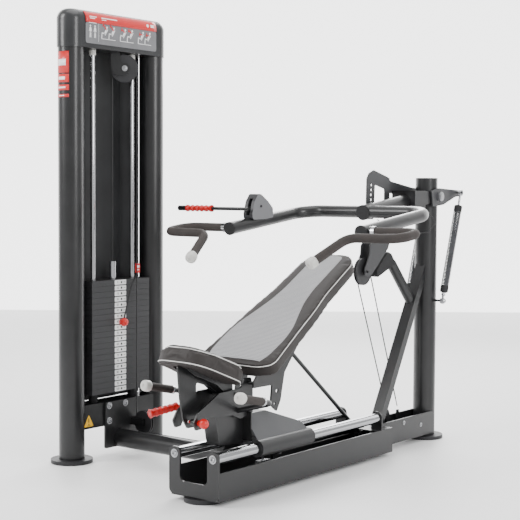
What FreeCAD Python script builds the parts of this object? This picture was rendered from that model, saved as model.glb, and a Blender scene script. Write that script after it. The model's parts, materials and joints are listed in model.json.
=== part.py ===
import FreeCAD, Part
import math
import os
import re

# Chest press machine with a weight stack: a sliding bench on two rails, a press arm
# that swings about the top of the rear column, and a weight tower joined to the bench's channel.
# Frame: +Z up, +X from the front end plate to the rear column, +Y towards the weight tower.
# The origin is on the floor, on the rear column's axis. Millimetres.

os.makedirs("parts", exist_ok=True)
Vector = FreeCAD.Vector
Rotation = FreeCAD.Rotation
Placement = FreeCAD.Placement
AXIS_X = Vector(1, 0, 0)
AXIS_Y = Vector(0, 1, 0)
AXIS_Z = Vector(0, 0, 1)
SIDES = (-1, 1)

DIMENSIONS = {
    # fits
    "running_gap": 0.06, "touch_gap": 0.5, "shaft_radius": 6, "sheet_wall": 6,
    # feet and rear column
    "foot_thickness": 18, "foot_radius": 100, "front_foot_radius": 82.5, "front_foot_centre": -1795,
    "column_radius": 57.5, "column_wall": 5, "column_top": 1371,
    # main channel, end plate and rails
    "channel_front": -1850, "channel_rear": -517, "channel_half": 130, "channel_bottom": 20,
    "channel_top": 140, "end_plate_thickness": 10, "end_plate_half": 135, "end_plate_bottom": 27,
    "rail_offset": 105, "rail_height": 198, "rail_radius": 24, "rail_rear": -626,
    "bracket_thickness": 10, "bracket_half": 30, "top_plate_front": -650,
    # rear beam and strut
    "beam_half": 60, "beam_bottom": 30, "beam_top": 147, "strut_width": 56, "strut_depth": 42,
    "stop_tube_radius": 26,
    # tower
    "tower_centre": -1340, "tower_depth": 980, "post_spacing": 552, "post_radius": 61,
    "post_top": 1967, "post_wall": 5, "header_radius": 66, "header_top": 2147,
    "header_fillet": 50, "cross_tube_radius": 44, "cross_tube_centre": -1350,
    "cross_tube_height": 85, "tower_plate_face": 920,
    "crossbar_front": 930, "crossbar_rear": 1030, "crossbar_bottom": 155, "crossbar_top": 270,
    "guide_spacing": 270, "guide_radius": 12.5, "cover_face": 1043, "cover_thickness": 3,
    # weight stack
    "plate_width": 398, "plate_depth": 120, "plate_pitch": 27.5, "plate_height": 27,
    "stack_bottom": 314, "resting_count": 12, "lifted_count": 8, "stem_radius": 17,
    "stem_bottom": 335, "stem_top": 950, "selector_radius": 5,
    # cable and pulleys
    "cable_radius": 3, "core_radius": 2.3, "pulley_plane": 42, "top_pulley_height": 1890,
    "top_groove": 59.4, "lower_pulley_height": 156, "lower_groove": 50, "corner_groove": 35,
    "beam_groove": 40, "beam_pulley_centre": -331.9, "arm_groove": 60, "rim_height": 7.5,
    "pulley_half": 9, "anchor_centre": -200, "anchor_height": 185,
    # press arm
    "pivot_height": 1274, "pivot_radius": 15, "arm_slope": 0.13, "arm_tube_radius": 37.5,
    "arm_front": -600, "yoke_front": -229, "yoke_rear": -125, "yoke_half": 69, "yoke_inner": 62,
    "lever_inner": 71, "lever_outer": 79, "fork_radius": 30, "fork_cross": -575, "fork_half": 370,
    "fork_front": -1175, "fork_bend": 120, "fork_wall": 4, "cap_length": 8, "bar_radius": 14,
    "grip_radius": 20, "handle_bend": 62, "knob_radius": 26, "knob_length": 38,
    "knob_rounding": 9, "low_knob_radius": 24, "low_knob_length": 36,
    "sector_inner": 39, "sector_outer": 45, "arm_pulley_centre": -538, "arm_pulley_height": 902,
    "hanger_half": 30, "lock_radius": 470, "lock_pin_radius": 7,
    # springs
    "spring_offset": 103, "spring_radius": 21.5, "spring_foot_height": 730,
    "spring_head_centre": 180, "spring_head_height": 1295,
    # bench
    "sleeve_radius": 38, "sleeve_front": -1570, "sleeve_rear": -1190, "side_plate_inner": 52,
    "side_plate_outer": 60, "back_hinge_centre": -1570, "back_hinge_height": 478,
    "back_angle": 29.9, "back_reference": -1300, "back_height": 751, "back_thickness": 68,
    "back_rail_inner": 96, "back_rail_outer": 104, "seat_front": -1960, "seat_height": 675,
    "seat_angle": 22, "seat_length": 325, "seat_thickness": 80, "seat_hinge_centre": -1660,
    "seat_hinge_height": 440, "prop_foot_centre": -615, "prop_foot_height": 115,
    "prop_head_centre": -1290, "prop_head_height": 650, "prop_radius": 9.5, "prop_eye": 17,
    "prop_pin_radius": 4, "hinge_shaft_radius": 8, "low_bar_radius": 11, "low_grip_radius": 17.5,
    "low_grip_length": 135, "pull_pin_centre": -1895, "pull_pin_height": 349,
    "slide_lever_centre": -1690, "slide_lever_height": 388, "slide_grip_radius": 16,
    # release lever and bolts
    "release_centre": -975, "release_height": 1225, "release_bar_radius": 8.5,
    "release_grip_radius": 14.5, "release_grip_start": 575, "release_grip_end": 738,
    "release_end": 790, "bolt_radius": 13, "bolt_height": 9,
}

doc = FreeCAD.newDocument("PressMachine")
sheet = doc.addObject("Spreadsheet::Sheet", "Dims")
for row, (alias, value) in enumerate(DIMENSIONS.items(), start=1):
    sheet.set(f"A{row}", alias)
    sheet.set(f"B{row}", str(value))
    sheet.setAlias(f"B{row}", alias)
doc.recompute()

NODES = []


def size(alias):
    """A driving dimension, read from the sheet."""
    return float(sheet.get(alias))


def bind(item, prop, text):
    """Bind a property to a formula in which the sheet's aliases are plain words."""
    item.setExpression(prop, re.sub(r"[a-z][a-z_]+", lambda word: "Dims." + word.group(), text))


def node(name, item):
    """Register an object as a sub-part, labelled with its node name."""
    item.Label = name
    NODES.append(item)
    return item


def along(direction, base):
    """A placement that turns +Z to a direction and moves the origin to a base point."""
    return Placement(base, Rotation(AXIS_Z, direction))


def box(name, x, y, z):
    """A box between two formulas along each axis."""
    item = doc.addObject("Part::Box", name)
    for prop, axis, (low, high) in (("Length", "x", x), ("Width", "y", y), ("Height", "z", z)):
        bind(item, prop, f"({high}) - ({low})")
        bind(item, f"Placement.Base.{axis}", low)
    return item


def rod(name, radius, start, end):
    """A cylinder of a formula's radius between two points."""
    item = doc.addObject("Part::Cylinder", name)
    bind(item, "Radius", radius)
    item.Height = (end - start).Length
    item.Placement = along(end - start, start)
    return item


def ball(name, radius, centre):
    item = doc.addObject("Part::Sphere", name)
    bind(item, "Radius", radius)
    item.Placement = Placement(centre, Rotation())
    return item


def fuse(name, *items):
    item = doc.addObject("Part::MultiFuse", name)
    item.Shapes = list(items)
    return item


def group(name, *items):
    item = doc.addObject("Part::Compound", name)
    item.Links = list(items)
    return item


def cut(name, base, *tools):
    item = doc.addObject("Part::Cut", name)
    item.Base = base
    item.Tool = tools[0] if len(tools) == 1 else fuse(name + "_tools", *tools)
    return item


def common(name, first, second):
    item = doc.addObject("Part::Common", name)
    item.Base = first
    item.Tool = second
    return item


def corner_arc(before, corner, after, radius):
    """The tangent arc that rounds a corner, as its first, middle and last point."""
    back = (before - corner).normalize()
    ahead = (after - corner).normalize()
    half_turn = (math.pi - back.getAngle(ahead)) / 2
    reach = radius * math.tan(half_turn)
    bisector = (back + ahead).normalize()
    centre = corner + bisector * (radius / math.cos(half_turn))
    return corner + back * reach, centre - bisector * radius, corner + ahead * reach


def rounded_edges(points, radius, closed):
    """Straight runs joined by tangent arcs, as curves."""
    count = len(points)
    arcs = {}
    for i in range(count) if closed else range(1, count - 1):
        arcs[i] = corner_arc(points[i - 1], points[i], points[(i + 1) % count], radius)
    edges = []
    for i in range(count if closed else count - 1):
        following = (i + 1) % count
        start = arcs[i][2] if i in arcs else points[i]
        end = arcs[following][0] if following in arcs else points[following]
        edges.append(Part.LineSegment(start, end))
        if following in arcs:
            edges.append(Part.Arc(*arcs[following]))
    return edges


def sketched_plate(name, plane, outline, thickness, shift, radius=0, holes=()):
    """A flat plate padded both ways from an origin plane, with rounded corners and round holes."""
    body = doc.addObject("PartDesign::Body", name)
    origin_plane = [item for item in body.Origin.OriginFeatures if item.Role == plane][0]
    sketch = body.newObject("Sketcher::SketchObject", name + "_sketch")
    sketch.AttachmentSupport = (origin_plane, [""])
    sketch.MapMode = "FlatFace"
    points = [Vector(first, second, 0) for first, second in outline]
    if radius:
        sketch.addGeometry(rounded_edges(points, radius, True), False)
    else:
        for start, end in zip(points, points[1:] + points[:1]):
            sketch.addGeometry(Part.LineSegment(start, end), False)
    for first, second, hole_radius in holes:
        sketch.addGeometry(Part.Circle(Vector(first, second, 0), AXIS_Z, hole_radius), False)
    pad = body.newObject("PartDesign::Pad", name + "_pad")
    pad.Profile = sketch
    pad.SideType = "Symmetric"
    bind(pad, "Length", thickness)
    body.Placement = Placement(shift, Rotation())
    return body


def side_plate(name, outline, inner, outer, side=1, radius=0, holes=()):
    """A plate in the XZ plane between two distances from the middle, on one side of it."""
    middle = side * (evaluate(inner) + evaluate(outer)) / 2
    thickness = f"({outer}) - ({inner})"
    return sketched_plate(name, "XZ_Plane", outline, thickness, AXIS_Y * middle, radius, holes)


def evaluate(text):
    """The value of an alias or of a plain number."""
    return size(text) if text in DIMENSIONS else float(text)


def swept(name, edges, radius):
    """A round bar of one radius along a path of curves, set as a shape."""
    path = Part.Wire([edge.toShape() for edge in edges])
    start = edges[0].value(edges[0].FirstParameter)
    heading = edges[0].tangent(edges[0].FirstParameter)[0]
    profile = Part.Wire(Part.Circle(start, heading, radius).toShape())
    item = doc.addObject("Part::Feature", name)
    item.Shape = path.makePipeShell([profile], True, True)
    return item


def bent_bar(name, points, bend, radius):
    return swept(name, rounded_edges(points, bend, False), radius)


def mirrored(point, side):
    return Vector(point[0], side * point[1], point[2])


def on_arm(x, y):
    """A point on the press arm's middle plane, which drops towards the front."""
    return Vector(x, y, size("pivot_height") + size("arm_slope") * x)


def pulley(name, centre, axis, groove, rim="rim_height", half="pulley_half"):
    """A grooved wheel with a running bore: two flanges and a groove floor."""
    half_width = evaluate(half)
    outer = f"{groove} + {rim}"
    start = centre - axis * half_width
    wheel = rod(name + "_wheel", outer, start, centre + axis * half_width)
    ring = doc.addObject("Part::Torus", name + "_groove")
    bind(ring, "Radius1", f"{groove} + cable_radius")
    bind(ring, "Radius2", "2 * cable_radius + touch_gap")
    ring.Placement = along(axis, centre)
    reach = axis * (half_width + 1)
    bore = rod(name + "_bore", "shaft_radius + running_gap", centre - reach, centre + reach)
    return cut(name, wheel, ring, bore)


# ---------------------------------------------------------------- feet, column and channel

def build_feet():
    feet = [rod("front_foot", "front_foot_radius", Vector(size("front_foot_centre"), 0, 0),
                Vector(size("front_foot_centre"), 0, size("channel_bottom")))]
    tower_x = [size("tower_centre") + side * size("post_spacing") / 2 for side in SIDES]
    places = [(0, 0)] + [(x, size("tower_depth")) for x in tower_x]
    for index, (x, y) in enumerate(places):
        feet.append(rod(f"foot_{index}", "foot_radius", Vector(x, y, 0),
                        Vector(x, y, size("foot_thickness"))))
    node("round_feet", group("feet", *feet))


def build_column():
    foot = size("foot_thickness")
    top = size("column_top")
    cap = size("column_wall")
    tube = rod("column_tube", "column_radius", Vector(0, 0, foot), Vector(0, 0, top))
    hollow = rod("column_hollow", "column_radius - column_wall", Vector(0, 0, foot + cap),
                 Vector(0, 0, top - cap))
    reach = AXIS_Y * 2 * size("column_radius")
    pivot = Vector(0, 0, size("pivot_height"))
    bore = rod("column_bore", "pivot_radius + running_gap", pivot - reach, pivot + reach)
    shell = cut("column_shell", tube, hollow, bore)
    parts = [shell]
    stud_height = AXIS_Z * size("spring_foot_height")
    for side in SIDES:
        inner = side * (size("column_radius") - 2)
        outer = side * (size("spring_offset") + size("shaft_radius") * 2)
        parts.append(rod(f"spring_stud_{side + 1}", "shaft_radius", stud_height + AXIS_Y * inner,
                         stud_height + AXIS_Y * outer))
    node("rear_column", fuse("column", *parts))


def build_channel():
    half = ("-channel_half", "channel_half")
    outer = box("channel_block", ("channel_front", "channel_rear"), half,
                ("channel_bottom", "channel_top"))
    inner_half = ("sheet_wall - channel_half", "channel_half - sheet_wall")
    trough = box("channel_trough", ("channel_front - 1", "top_plate_front"), inner_half,
                 ("channel_bottom + sheet_wall", "channel_top + 1"))
    boxed = box("channel_boxed", ("top_plate_front - 1", "channel_rear - sheet_wall"), inner_half,
                ("channel_bottom + sheet_wall", "channel_top - sheet_wall"))
    prop_slot = box("prop_slot", ("top_plate_front - 1", "prop_foot_centre + 25"),
                    ("-prop_eye", "prop_eye"), ("channel_top - 2 * sheet_wall", "channel_top + 1"))
    cable_z = size("lower_pulley_height") - size("lower_groove")
    rear = size("channel_rear")
    plane_y = size("pulley_plane")
    rear_hole = rod("rear_cable_hole", "2 * cable_radius", Vector(rear - 20, plane_y, cable_z),
                    Vector(rear + 5, plane_y, cable_z))
    side_x = top_pulley_leave().x
    half_width = size("channel_half")
    side_hole = rod("side_cable_hole", "2 * cable_radius",
                    Vector(side_x, half_width - 20, cable_z), Vector(side_x, half_width + 5, cable_z))
    shell = cut("channel_shell", outer, trough, boxed, prop_slot, rear_hole, side_hole)

    parts = [shell]
    bracket_top = size("rail_height") + 2
    for side in SIDES:
        middle = side * size("rail_offset")
        reach = size("bracket_half")
        outline = [(middle - reach, size("channel_top") - 1), (middle + reach, size("channel_top") - 1),
                   (middle + reach, bracket_top + reach), (middle - reach, bracket_top + reach)]
        blank = sketched_plate(f"rail_bracket_{side + 1}", "YZ_Plane", outline, "bracket_thickness",
                               AXIS_X * (size("rail_rear") + size("bracket_thickness") / 2))
        crown = rod(f"rail_crown_{side + 1}", "bracket_half",
                    Vector(size("rail_rear") - 5, middle, bracket_top),
                    Vector(size("rail_rear") + 20, middle, bracket_top))
        skirt = box(f"rail_skirt_{side + 1}", ("rail_rear - 5", "rail_rear + 20"),
                    (f"{middle} - bracket_half", f"{middle} + bracket_half"),
                    ("channel_top - 2", "rail_height + 2"))
        parts.append(common(f"rail_ear_{side + 1}", blank, fuse(f"rail_form_{side + 1}", crown, skirt)))

    # lugs and shaft for the prop rod's foot
    foot = Vector(size("prop_foot_centre"), 0, size("prop_foot_height"))
    for side in SIDES:
        parts.append(box(f"prop_lug_{side + 1}", ("prop_foot_centre - 15", "prop_foot_centre + 15"),
                         (f"{side} * prop_eye - 3 + {side} * 3", f"{side} * prop_eye + 3 + {side} * 3"),
                         ("channel_bottom + 2", "prop_foot_height + 12")))
    shaft_reach = AXIS_Y * (size("prop_eye") + 4)
    parts.append(rod("prop_foot_shaft", "shaft_radius", foot - shaft_reach, foot + shaft_reach))

    # post for the corner pulley and the bar that the bench lock presses on
    corner = corner_pulley_centre()
    parts.append(rod("corner_post", "shaft_radius", Vector(corner.x, corner.y, size("channel_bottom") + 2),
                     corner + AXIS_Z * (size("pulley_half") + 4)))
    parts.append(box("lock_bar_top", ("-1560", "-1130"), ("-60", "-30"), ("97", "105")))
    parts.append(box("lock_bar_web", ("-1560", "-1130"), ("-48", "-42"), ("channel_bottom + 3", "98")))
    node("main_channel", fuse("channel", *parts))


def build_front_plate():
    half = size("end_plate_half")
    low = size("end_plate_bottom")
    ear = size("bracket_half")
    rail_z = size("rail_height")
    notch_half = 75
    notch_floor = 85
    outline = [(-half, low), (half, low), (half, rail_z + ear), (notch_half, rail_z + ear),
               (notch_half, notch_floor), (-notch_half, notch_floor), (-notch_half, rail_z + ear),
               (-half, rail_z + ear)]
    middle = AXIS_X * (size("channel_front") - size("end_plate_thickness") / 2)
    node("front_end_plate", sketched_plate("end_plate", "YZ_Plane", outline, "end_plate_thickness",
                                           middle, radius=24))


def build_beam():
    half = ("-beam_half", "beam_half")
    block = box("beam_block", ("channel_rear", "0"), half, ("beam_bottom", "beam_top"))
    trough = box("beam_trough", ("channel_rear - 1", "1"),
                 ("sheet_wall - beam_half", "beam_half - sheet_wall"),
                 ("beam_bottom + sheet_wall", "beam_top + 1"))
    column = rod("beam_column_cut", "column_radius", Vector(0, 0, 0), Vector(0, 0, size("beam_top") + 60))
    shell = cut("beam_shell", block, trough, column)
    plane_y = size("pulley_plane")
    anchor_x = size("anchor_centre")
    outline = [(anchor_x - 20, 33), (anchor_x + 22, 33), (anchor_x + 14, 168), (anchor_x - 6, 168)]
    anchor = sketched_plate("anchor_plate", "XZ_Plane", outline, "sheet_wall", AXIS_Y * plane_y, radius=5)
    centre = beam_pulley_centre()
    post = box("beam_pulley_post", (f"{centre.x} - 12", f"{centre.x} + 12"), ("18", "24"),
               ("beam_bottom + 2", f"{centre.z} + 12"))
    shaft = rod("beam_pulley_shaft", "shaft_radius", Vector(centre.x, 20, centre.z),
                Vector(centre.x, plane_y + size("pulley_half") + 2, centre.z))
    node("rear_beam", fuse("beam", shell, anchor, post, shaft))


# ---------------------------------------------------------------- strut, stop and rails

STRUT_FOOT = Vector(-485, 0, 138)
STRUT_HEAD = Vector(-45, 0, 932)
STOP_FOOT = Vector(-133, 0, 711)
STOP_HEAD = Vector(-283, 38, 935)


def build_strut():
    heading = (STRUT_HEAD - STRUT_FOOT).normalize()
    normal = Vector(heading.z, 0, -heading.x)
    depth = size("strut_depth")
    half = size("strut_width") / 2
    floor = size("beam_bottom") + size("sheet_wall")
    front = size("channel_rear") + 3
    front_z = STRUT_FOOT.z + (front - STRUT_FOOT.x) * heading.z / heading.x
    under_head = STRUT_HEAD + normal * depth
    rear = under_head.x + (floor - under_head.z) * heading.x / heading.z
    outline = [(front, floor), (front, front_z), (STRUT_HEAD.x, STRUT_HEAD.z),
               (under_head.x, under_head.z), (rear, floor)]
    bar = side_plate("strut_bar", outline, str(-half), str(half))
    tube = rod("stop_tube_bar", "stop_tube_radius", STOP_FOOT + normal * 12, STOP_HEAD)
    column = rod("strut_column_cut", "column_radius", Vector(0, 0, 0), Vector(0, 0, size("column_top")))
    body = fuse("strut_body", bar, tube)
    node("diagonal_strut", cut("strut", body, column))


def build_bumper():
    """A rubber wedge on the stop tube, whose sloping top carries the pulley hanger."""
    outline = [(-452, 905), (-350, 995), (-318, 983), (-276, 933), (-446, 869)]
    plane_y = size("pulley_plane")
    half = size("hanger_half")
    wedge = side_plate("bumper_wedge", outline, str(plane_y - half), str(plane_y + half), radius=6)
    tube = rod("bumper_tube_cut", "stop_tube_radius", STOP_FOOT, STOP_HEAD)
    node("stop_bumper", cut("bumper", wedge, tube))


def build_rails():
    rails = []
    for side in SIDES:
        middle = side * size("rail_offset")
        height = size("rail_height")
        rails.append(rod(f"rail_{side + 1}", "rail_radius", Vector(size("channel_front"), middle, height),
                         Vector(size("rail_rear"), middle, height)))
    node("slide_rails", group("rails", *rails))


# ---------------------------------------------------------------- tower

def post_centres():
    return [size("tower_centre") + side * size("post_spacing") / 2 for side in SIDES]


def guide_centres():
    return [size("tower_centre") + side * size("guide_spacing") / 2 for side in SIDES]


def build_cross_tube():
    start = Vector(size("cross_tube_centre"), size("channel_half"), size("cross_tube_height"))
    end = Vector(start.x, size("tower_plate_face") + 1, start.z)
    tube = rod("cross_tube_bar", "cross_tube_radius", start, end)
    left = size("cross_tube_centre") - 100
    outline = [(left, 45), (left, 270), (left + 160, 270), (left + 160, 205), (left + 240, 175),
               (left + 240, 110), (left + 160, 45)]
    plate_y = (size("tower_plate_face") + size("crossbar_front")) / 2
    plate = sketched_plate("tower_plate", "XZ_Plane", outline, "crossbar_front - tower_plate_face",
                           AXIS_Y * plate_y, radius=8)
    parts = [tube, plate]
    centre = lower_pulley_centre()
    for side in SIDES:
        low = centre.x + side * 18 - 3
        parts.append(box(f"lower_cheek_{side + 1}", (str(low), str(low + 6)),
                         (str(centre.y - 16), "tower_plate_face + 1"),
                         (str(centre.z - 16), str(centre.z + 18))))
    reach = AXIS_X * 20
    parts.append(rod("lower_shaft", "shaft_radius", centre - reach, centre + reach))
    hollow = rod("cross_tube_hollow", "cross_tube_radius - post_wall", start - AXIS_Y, end - AXIS_Y * 15)
    node("cross_tube", cut("cross_tube_shell", fuse("cross_tube_body", *parts), hollow))


def build_tower():
    depth = size("tower_depth")
    posts = []
    for i, x in enumerate(post_centres()):
        low = Vector(x, depth, size("foot_thickness"))
        high = Vector(x, depth, size("post_top"))
        outer = rod(f"post_{i}_tube", "post_radius", low, high)
        hollow = rod(f"post_{i}_hollow", "post_radius - post_wall", low - AXIS_Z, high + AXIS_Z)
        posts.append(cut(f"post_{i}", outer, hollow))
    node("tower_posts", group("posts", *posts))

    left, right = post_centres()
    bar = box("crossbar_block", (str(left), str(right)), ("crossbar_front", "crossbar_rear"),
              ("crossbar_bottom", "crossbar_top"))
    cuts = [rod(f"crossbar_post_{i}", "post_radius", Vector(x, depth, 0), Vector(x, depth, 400))
            for i, x in enumerate(post_centres())]
    inner = box("crossbar_hollow", (str(left), str(right)),
                ("crossbar_front + post_wall", "crossbar_rear - post_wall"),
                ("crossbar_bottom + post_wall", "crossbar_top - post_wall"))
    node("tower_crossbar", cut("crossbar", bar, inner, *cuts))

    block = box("header_block", (str(left), str(right)),
                ("tower_depth - header_radius", "tower_depth + header_radius"),
                ("post_top", "header_top"))
    ends = [rod(f"header_end_{i}", "header_radius", Vector(x, depth, size("post_top")),
                Vector(x, depth, size("header_top"))) for i, x in enumerate(post_centres())]
    solid = fuse("header_solid", block, *ends)
    doc.recompute()
    rounded = doc.addObject("Part::Fillet", "header")
    rounded.Base = solid
    top = size("header_top")
    fillet = size("header_fillet")
    edges = [(i + 1, fillet, fillet) for i, edge in enumerate(solid.Shape.Edges)
             if edge.BoundBox.ZMin > top - 1 and edge.BoundBox.XLength > 1]
    rounded.Edges = edges
    node("tower_header", rounded)

    face = size("cover_face")
    thick = size("cover_thickness")
    outline = [(-1600, face), (-1270, face), (-1210, face + 12), (-1090, face), (-1090, face + thick),
               (-1208, face + 12 + thick), (-1272, face + thick), (-1600, face + thick)]
    height = "post_top - crossbar_top"
    middle = AXIS_Z * (size("post_top") + size("crossbar_top")) / 2
    node("rear_cover", sketched_plate("cover", "XY_Plane", outline, height, middle))

    rods = [rod(f"guide_{i}", "guide_radius", Vector(x, depth, size("crossbar_top")),
                Vector(x, depth, size("post_top"))) for i, x in enumerate(guide_centres())]
    node("guide_rods", group("guides", *rods))


def build_plate(name, low):
    """One weight plate with holes for the guide rods and the stem."""
    depth = size("tower_depth")
    blank = box(name + "_blank", ("tower_centre - plate_width / 2", "tower_centre + plate_width / 2"),
                ("tower_depth - plate_depth / 2", "tower_depth + plate_depth / 2"),
                (str(low), f"{low} + plate_height"))
    holes = [rod(f"{name}_guide_{i}", "guide_radius + 2", Vector(x, depth, low - 1),
                 Vector(x, depth, low + 30)) for i, x in enumerate(guide_centres())]
    holes.append(rod(name + "_stem", "stem_radius + 1", Vector(stem_x(), depth, low - 1),
                     Vector(stem_x(), depth, low + 30)))
    return cut(name, blank, *holes)


def build_stack():
    pitch = size("plate_pitch")
    bottom = size("stack_bottom")
    depth = size("tower_depth")
    resting = int(size("resting_count"))
    lifted = int(size("lifted_count"))
    plates = [build_plate(f"resting_{i}", bottom + i * pitch) for i in range(resting)]
    node("resting_plates", group("resting", *plates))
    start = bottom + resting * pitch
    plates = [build_plate(f"lifted_{i}", start + i * pitch) for i in range(lifted)]
    pin_z = start + size("plate_height") / 2
    front = depth - size("plate_depth") / 2
    slot = box("selector_slot", (f"{stem_x()} - selector_radius - 1", f"{stem_x()} + selector_radius + 1"),
               (f"{front} - 1", "tower_depth"),
               (f"{pin_z} - selector_radius - 1", f"{pin_z} + selector_radius + 1"))
    plates[0] = cut("lifted_pinned", plates[0], slot)
    node("lifted_plates", group("lifted", *plates))

    stem = rod("stem_bar", "stem_radius", Vector(stem_x(), depth, size("stem_bottom")),
               Vector(stem_x(), depth, size("stem_top")))
    hole_start = Vector(stem_x(), depth - 30, pin_z)
    hole = rod("stem_hole", "selector_radius + running_gap", hole_start, Vector(stem_x(), depth + 30, pin_z))
    node("stack_stem", cut("stem", stem, hole))

    shank = rod("selector_shank", "selector_radius", Vector(stem_x(), front - 12, pin_z),
                Vector(stem_x(), depth + 10, pin_z))
    knob = ball("selector_knob", "4 * selector_radius", Vector(stem_x(), front - 22, pin_z))
    node("selector_pin", fuse("selector", shank, knob))

    rings = []
    for i, x in enumerate(guide_centres()):
        low = Vector(x, depth, size("crossbar_top"))
        high = Vector(x, depth, bottom - 0.3)
        ring = rod(f"buffer_{i}_ring", "guide_radius + 10", low, high)
        hole = rod(f"buffer_{i}_hole", "guide_radius", low - AXIS_Z, high + AXIS_Z)
        rings.append(cut(f"buffer_{i}", ring, hole))
    node("stack_buffers", group("buffers", *rings))


# ---------------------------------------------------------------- cable and pulleys

TOP_PULLEY = (-1298, 939)
TOP_PULLEY_HEADING = Vector(0.7237, -0.6901, 0)
TOP_PULLEY_AXIS = Vector(0.6901, 0.7237, 0)


def top_pulley_centre():
    return Vector(TOP_PULLEY[0], TOP_PULLEY[1], size("top_pulley_height"))


def top_pulley_leave():
    """Where the cable leaves the top pulley on its way down."""
    return top_pulley_centre() + TOP_PULLEY_HEADING * size("top_groove")


def stem_x():
    return (top_pulley_centre() - TOP_PULLEY_HEADING * size("top_groove")).x


def lower_pulley_centre():
    leave = top_pulley_leave()
    return Vector(leave.x, leave.y - size("lower_groove"), size("lower_pulley_height"))


def cable_height():
    return size("lower_pulley_height") - size("lower_groove")


def corner_pulley_centre():
    groove = size("corner_groove")
    return Vector(top_pulley_leave().x + groove, size("pulley_plane") + groove, cable_height())


def beam_pulley_centre():
    return Vector(size("beam_pulley_centre"), size("pulley_plane"), cable_height() + size("beam_groove"))


def arm_pulley_centre():
    return Vector(size("arm_pulley_centre"), size("pulley_plane"), size("arm_pulley_height"))


def anchor_point():
    return Vector(size("anchor_centre"), size("pulley_plane"), size("anchor_height"))


def front_strand():
    """The strand from the beam pulley's rear side to the arm pulley's front side."""
    low = beam_pulley_centre()
    high = arm_pulley_centre()
    span = high - low
    lean = math.asin((size("beam_groove") + size("arm_groove")) / span.Length)
    angle = math.atan2(span.z, span.x) + lean
    normal = Vector(math.sin(angle), 0, -math.cos(angle))
    return low + normal * size("beam_groove"), high - normal * size("arm_groove")


def rear_strand():
    """The strand from the anchor to the arm pulley's rear side."""
    low = anchor_point()
    high = arm_pulley_centre()
    span = high - low
    angle = math.atan2(span.z, span.x) - math.asin(size("arm_groove") / span.Length)
    normal = Vector(math.sin(angle), 0, -math.cos(angle))
    return low, high + normal * size("arm_groove")


def arc(centre, first, middle, last, radius):
    return Part.Arc(*[centre + direction.normalize() * radius for direction in (first, middle, last)])


def build_tower_cable():
    top = top_pulley_centre()
    lower = lower_pulley_centre()
    corner = corner_pulley_centre()
    beam = beam_pulley_centre()
    out = TOP_PULLEY_HEADING
    strand_start, strand_end = front_strand()
    over = arc(top, out * -1, Vector(AXIS_Z), Vector(out), size("top_groove"))
    under = arc(lower, Vector(AXIS_Y), Vector(0, 1, -1), Vector(0, 0, -1), size("lower_groove"))
    turn = arc(corner, Vector(-1, 0, 0), Vector(-1, -1, 0), Vector(0, -1, 0), size("corner_groove"))
    leave = strand_start - beam
    rise = arc(beam, Vector(0, 0, -1), leave - AXIS_Z * leave.Length, Vector(leave), size("beam_groove"))
    edges = [over, Part.LineSegment(over.EndPoint, under.StartPoint), under,
             Part.LineSegment(under.EndPoint, turn.StartPoint), turn,
             Part.LineSegment(turn.EndPoint, rise.StartPoint), rise]
    node("tower_cable", swept("tower_cable_run", edges, size("cable_radius")))
    riser = rod("riser", "cable_radius", Vector(stem_x(), over.StartPoint.y, size("stem_top")),
                over.StartPoint - AXIS_Z * 1)
    node("riser_cable", riser)


def build_strand(name, start, end):
    """A core fixed at the low end, and a sleeve round it that follows the arm pulley."""
    heading = (end - start).normalize()
    core_low = start + heading * 2
    core_high = end - heading * 25
    node(name + "_core", rod(name + "_core_bar", "core_radius", core_low, core_high))
    sleeve_low = start + heading * 45
    outer = rod(name + "_sleeve_bar", "cable_radius", sleeve_low, end)
    bore = rod(name + "_sleeve_bore", "core_radius + running_gap", sleeve_low - heading, end + heading)
    node(name + "_sleeve", cut(name + "_sleeve_tube", outer, bore))


def build_pulleys():
    node("top_pulley", pulley("top_wheel", top_pulley_centre(), TOP_PULLEY_AXIS, "top_groove"))
    node("lower_pulley", pulley("lower_wheel", lower_pulley_centre(), AXIS_X, "lower_groove"))
    node("corner_pulley", pulley("corner_wheel", corner_pulley_centre(), AXIS_Z, "corner_groove"))
    node("beam_pulley", pulley("beam_wheel", beam_pulley_centre(), AXIS_Y, "beam_groove"))
    node("arm_pulley", pulley("arm_wheel", arm_pulley_centre(), AXIS_Y, "arm_groove"))

    centre = top_pulley_centre()
    rise = size("post_top") - size("top_pulley_height")
    outline = [(-68, rise), (-66, 10), (-58, -20), (-40, -36), (12, -28), (26, -10), (26, 12), (10, 26),
               (-12, 26), (-22, 40), (-20, rise)]
    turn = Rotation(TOP_PULLEY_HEADING, AXIS_Z, TOP_PULLEY_HEADING.cross(AXIS_Z), "XYZ")
    parts = []
    for side in SIDES:
        cheek = sketched_plate(f"top_cheek_{side + 1}", "XY_Plane", outline, "sheet_wall", Vector(),
                               radius=9)
        cheek.Placement = Placement(centre + TOP_PULLEY_AXIS * (side * 16), turn)
        parts.append(cheek)
    reach = TOP_PULLEY_AXIS * 22
    parts.append(rod("top_shaft", "shaft_radius", centre - reach, centre + reach))
    node("top_pulley_bracket", fuse("top_bracket", *parts))


# ---------------------------------------------------------------- lift lever

def pivot_point(y=0):
    return Vector(0, y, size("pivot_height"))


def pivot_hole():
    return (0, size("pivot_height"), size("pivot_radius"))


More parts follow.
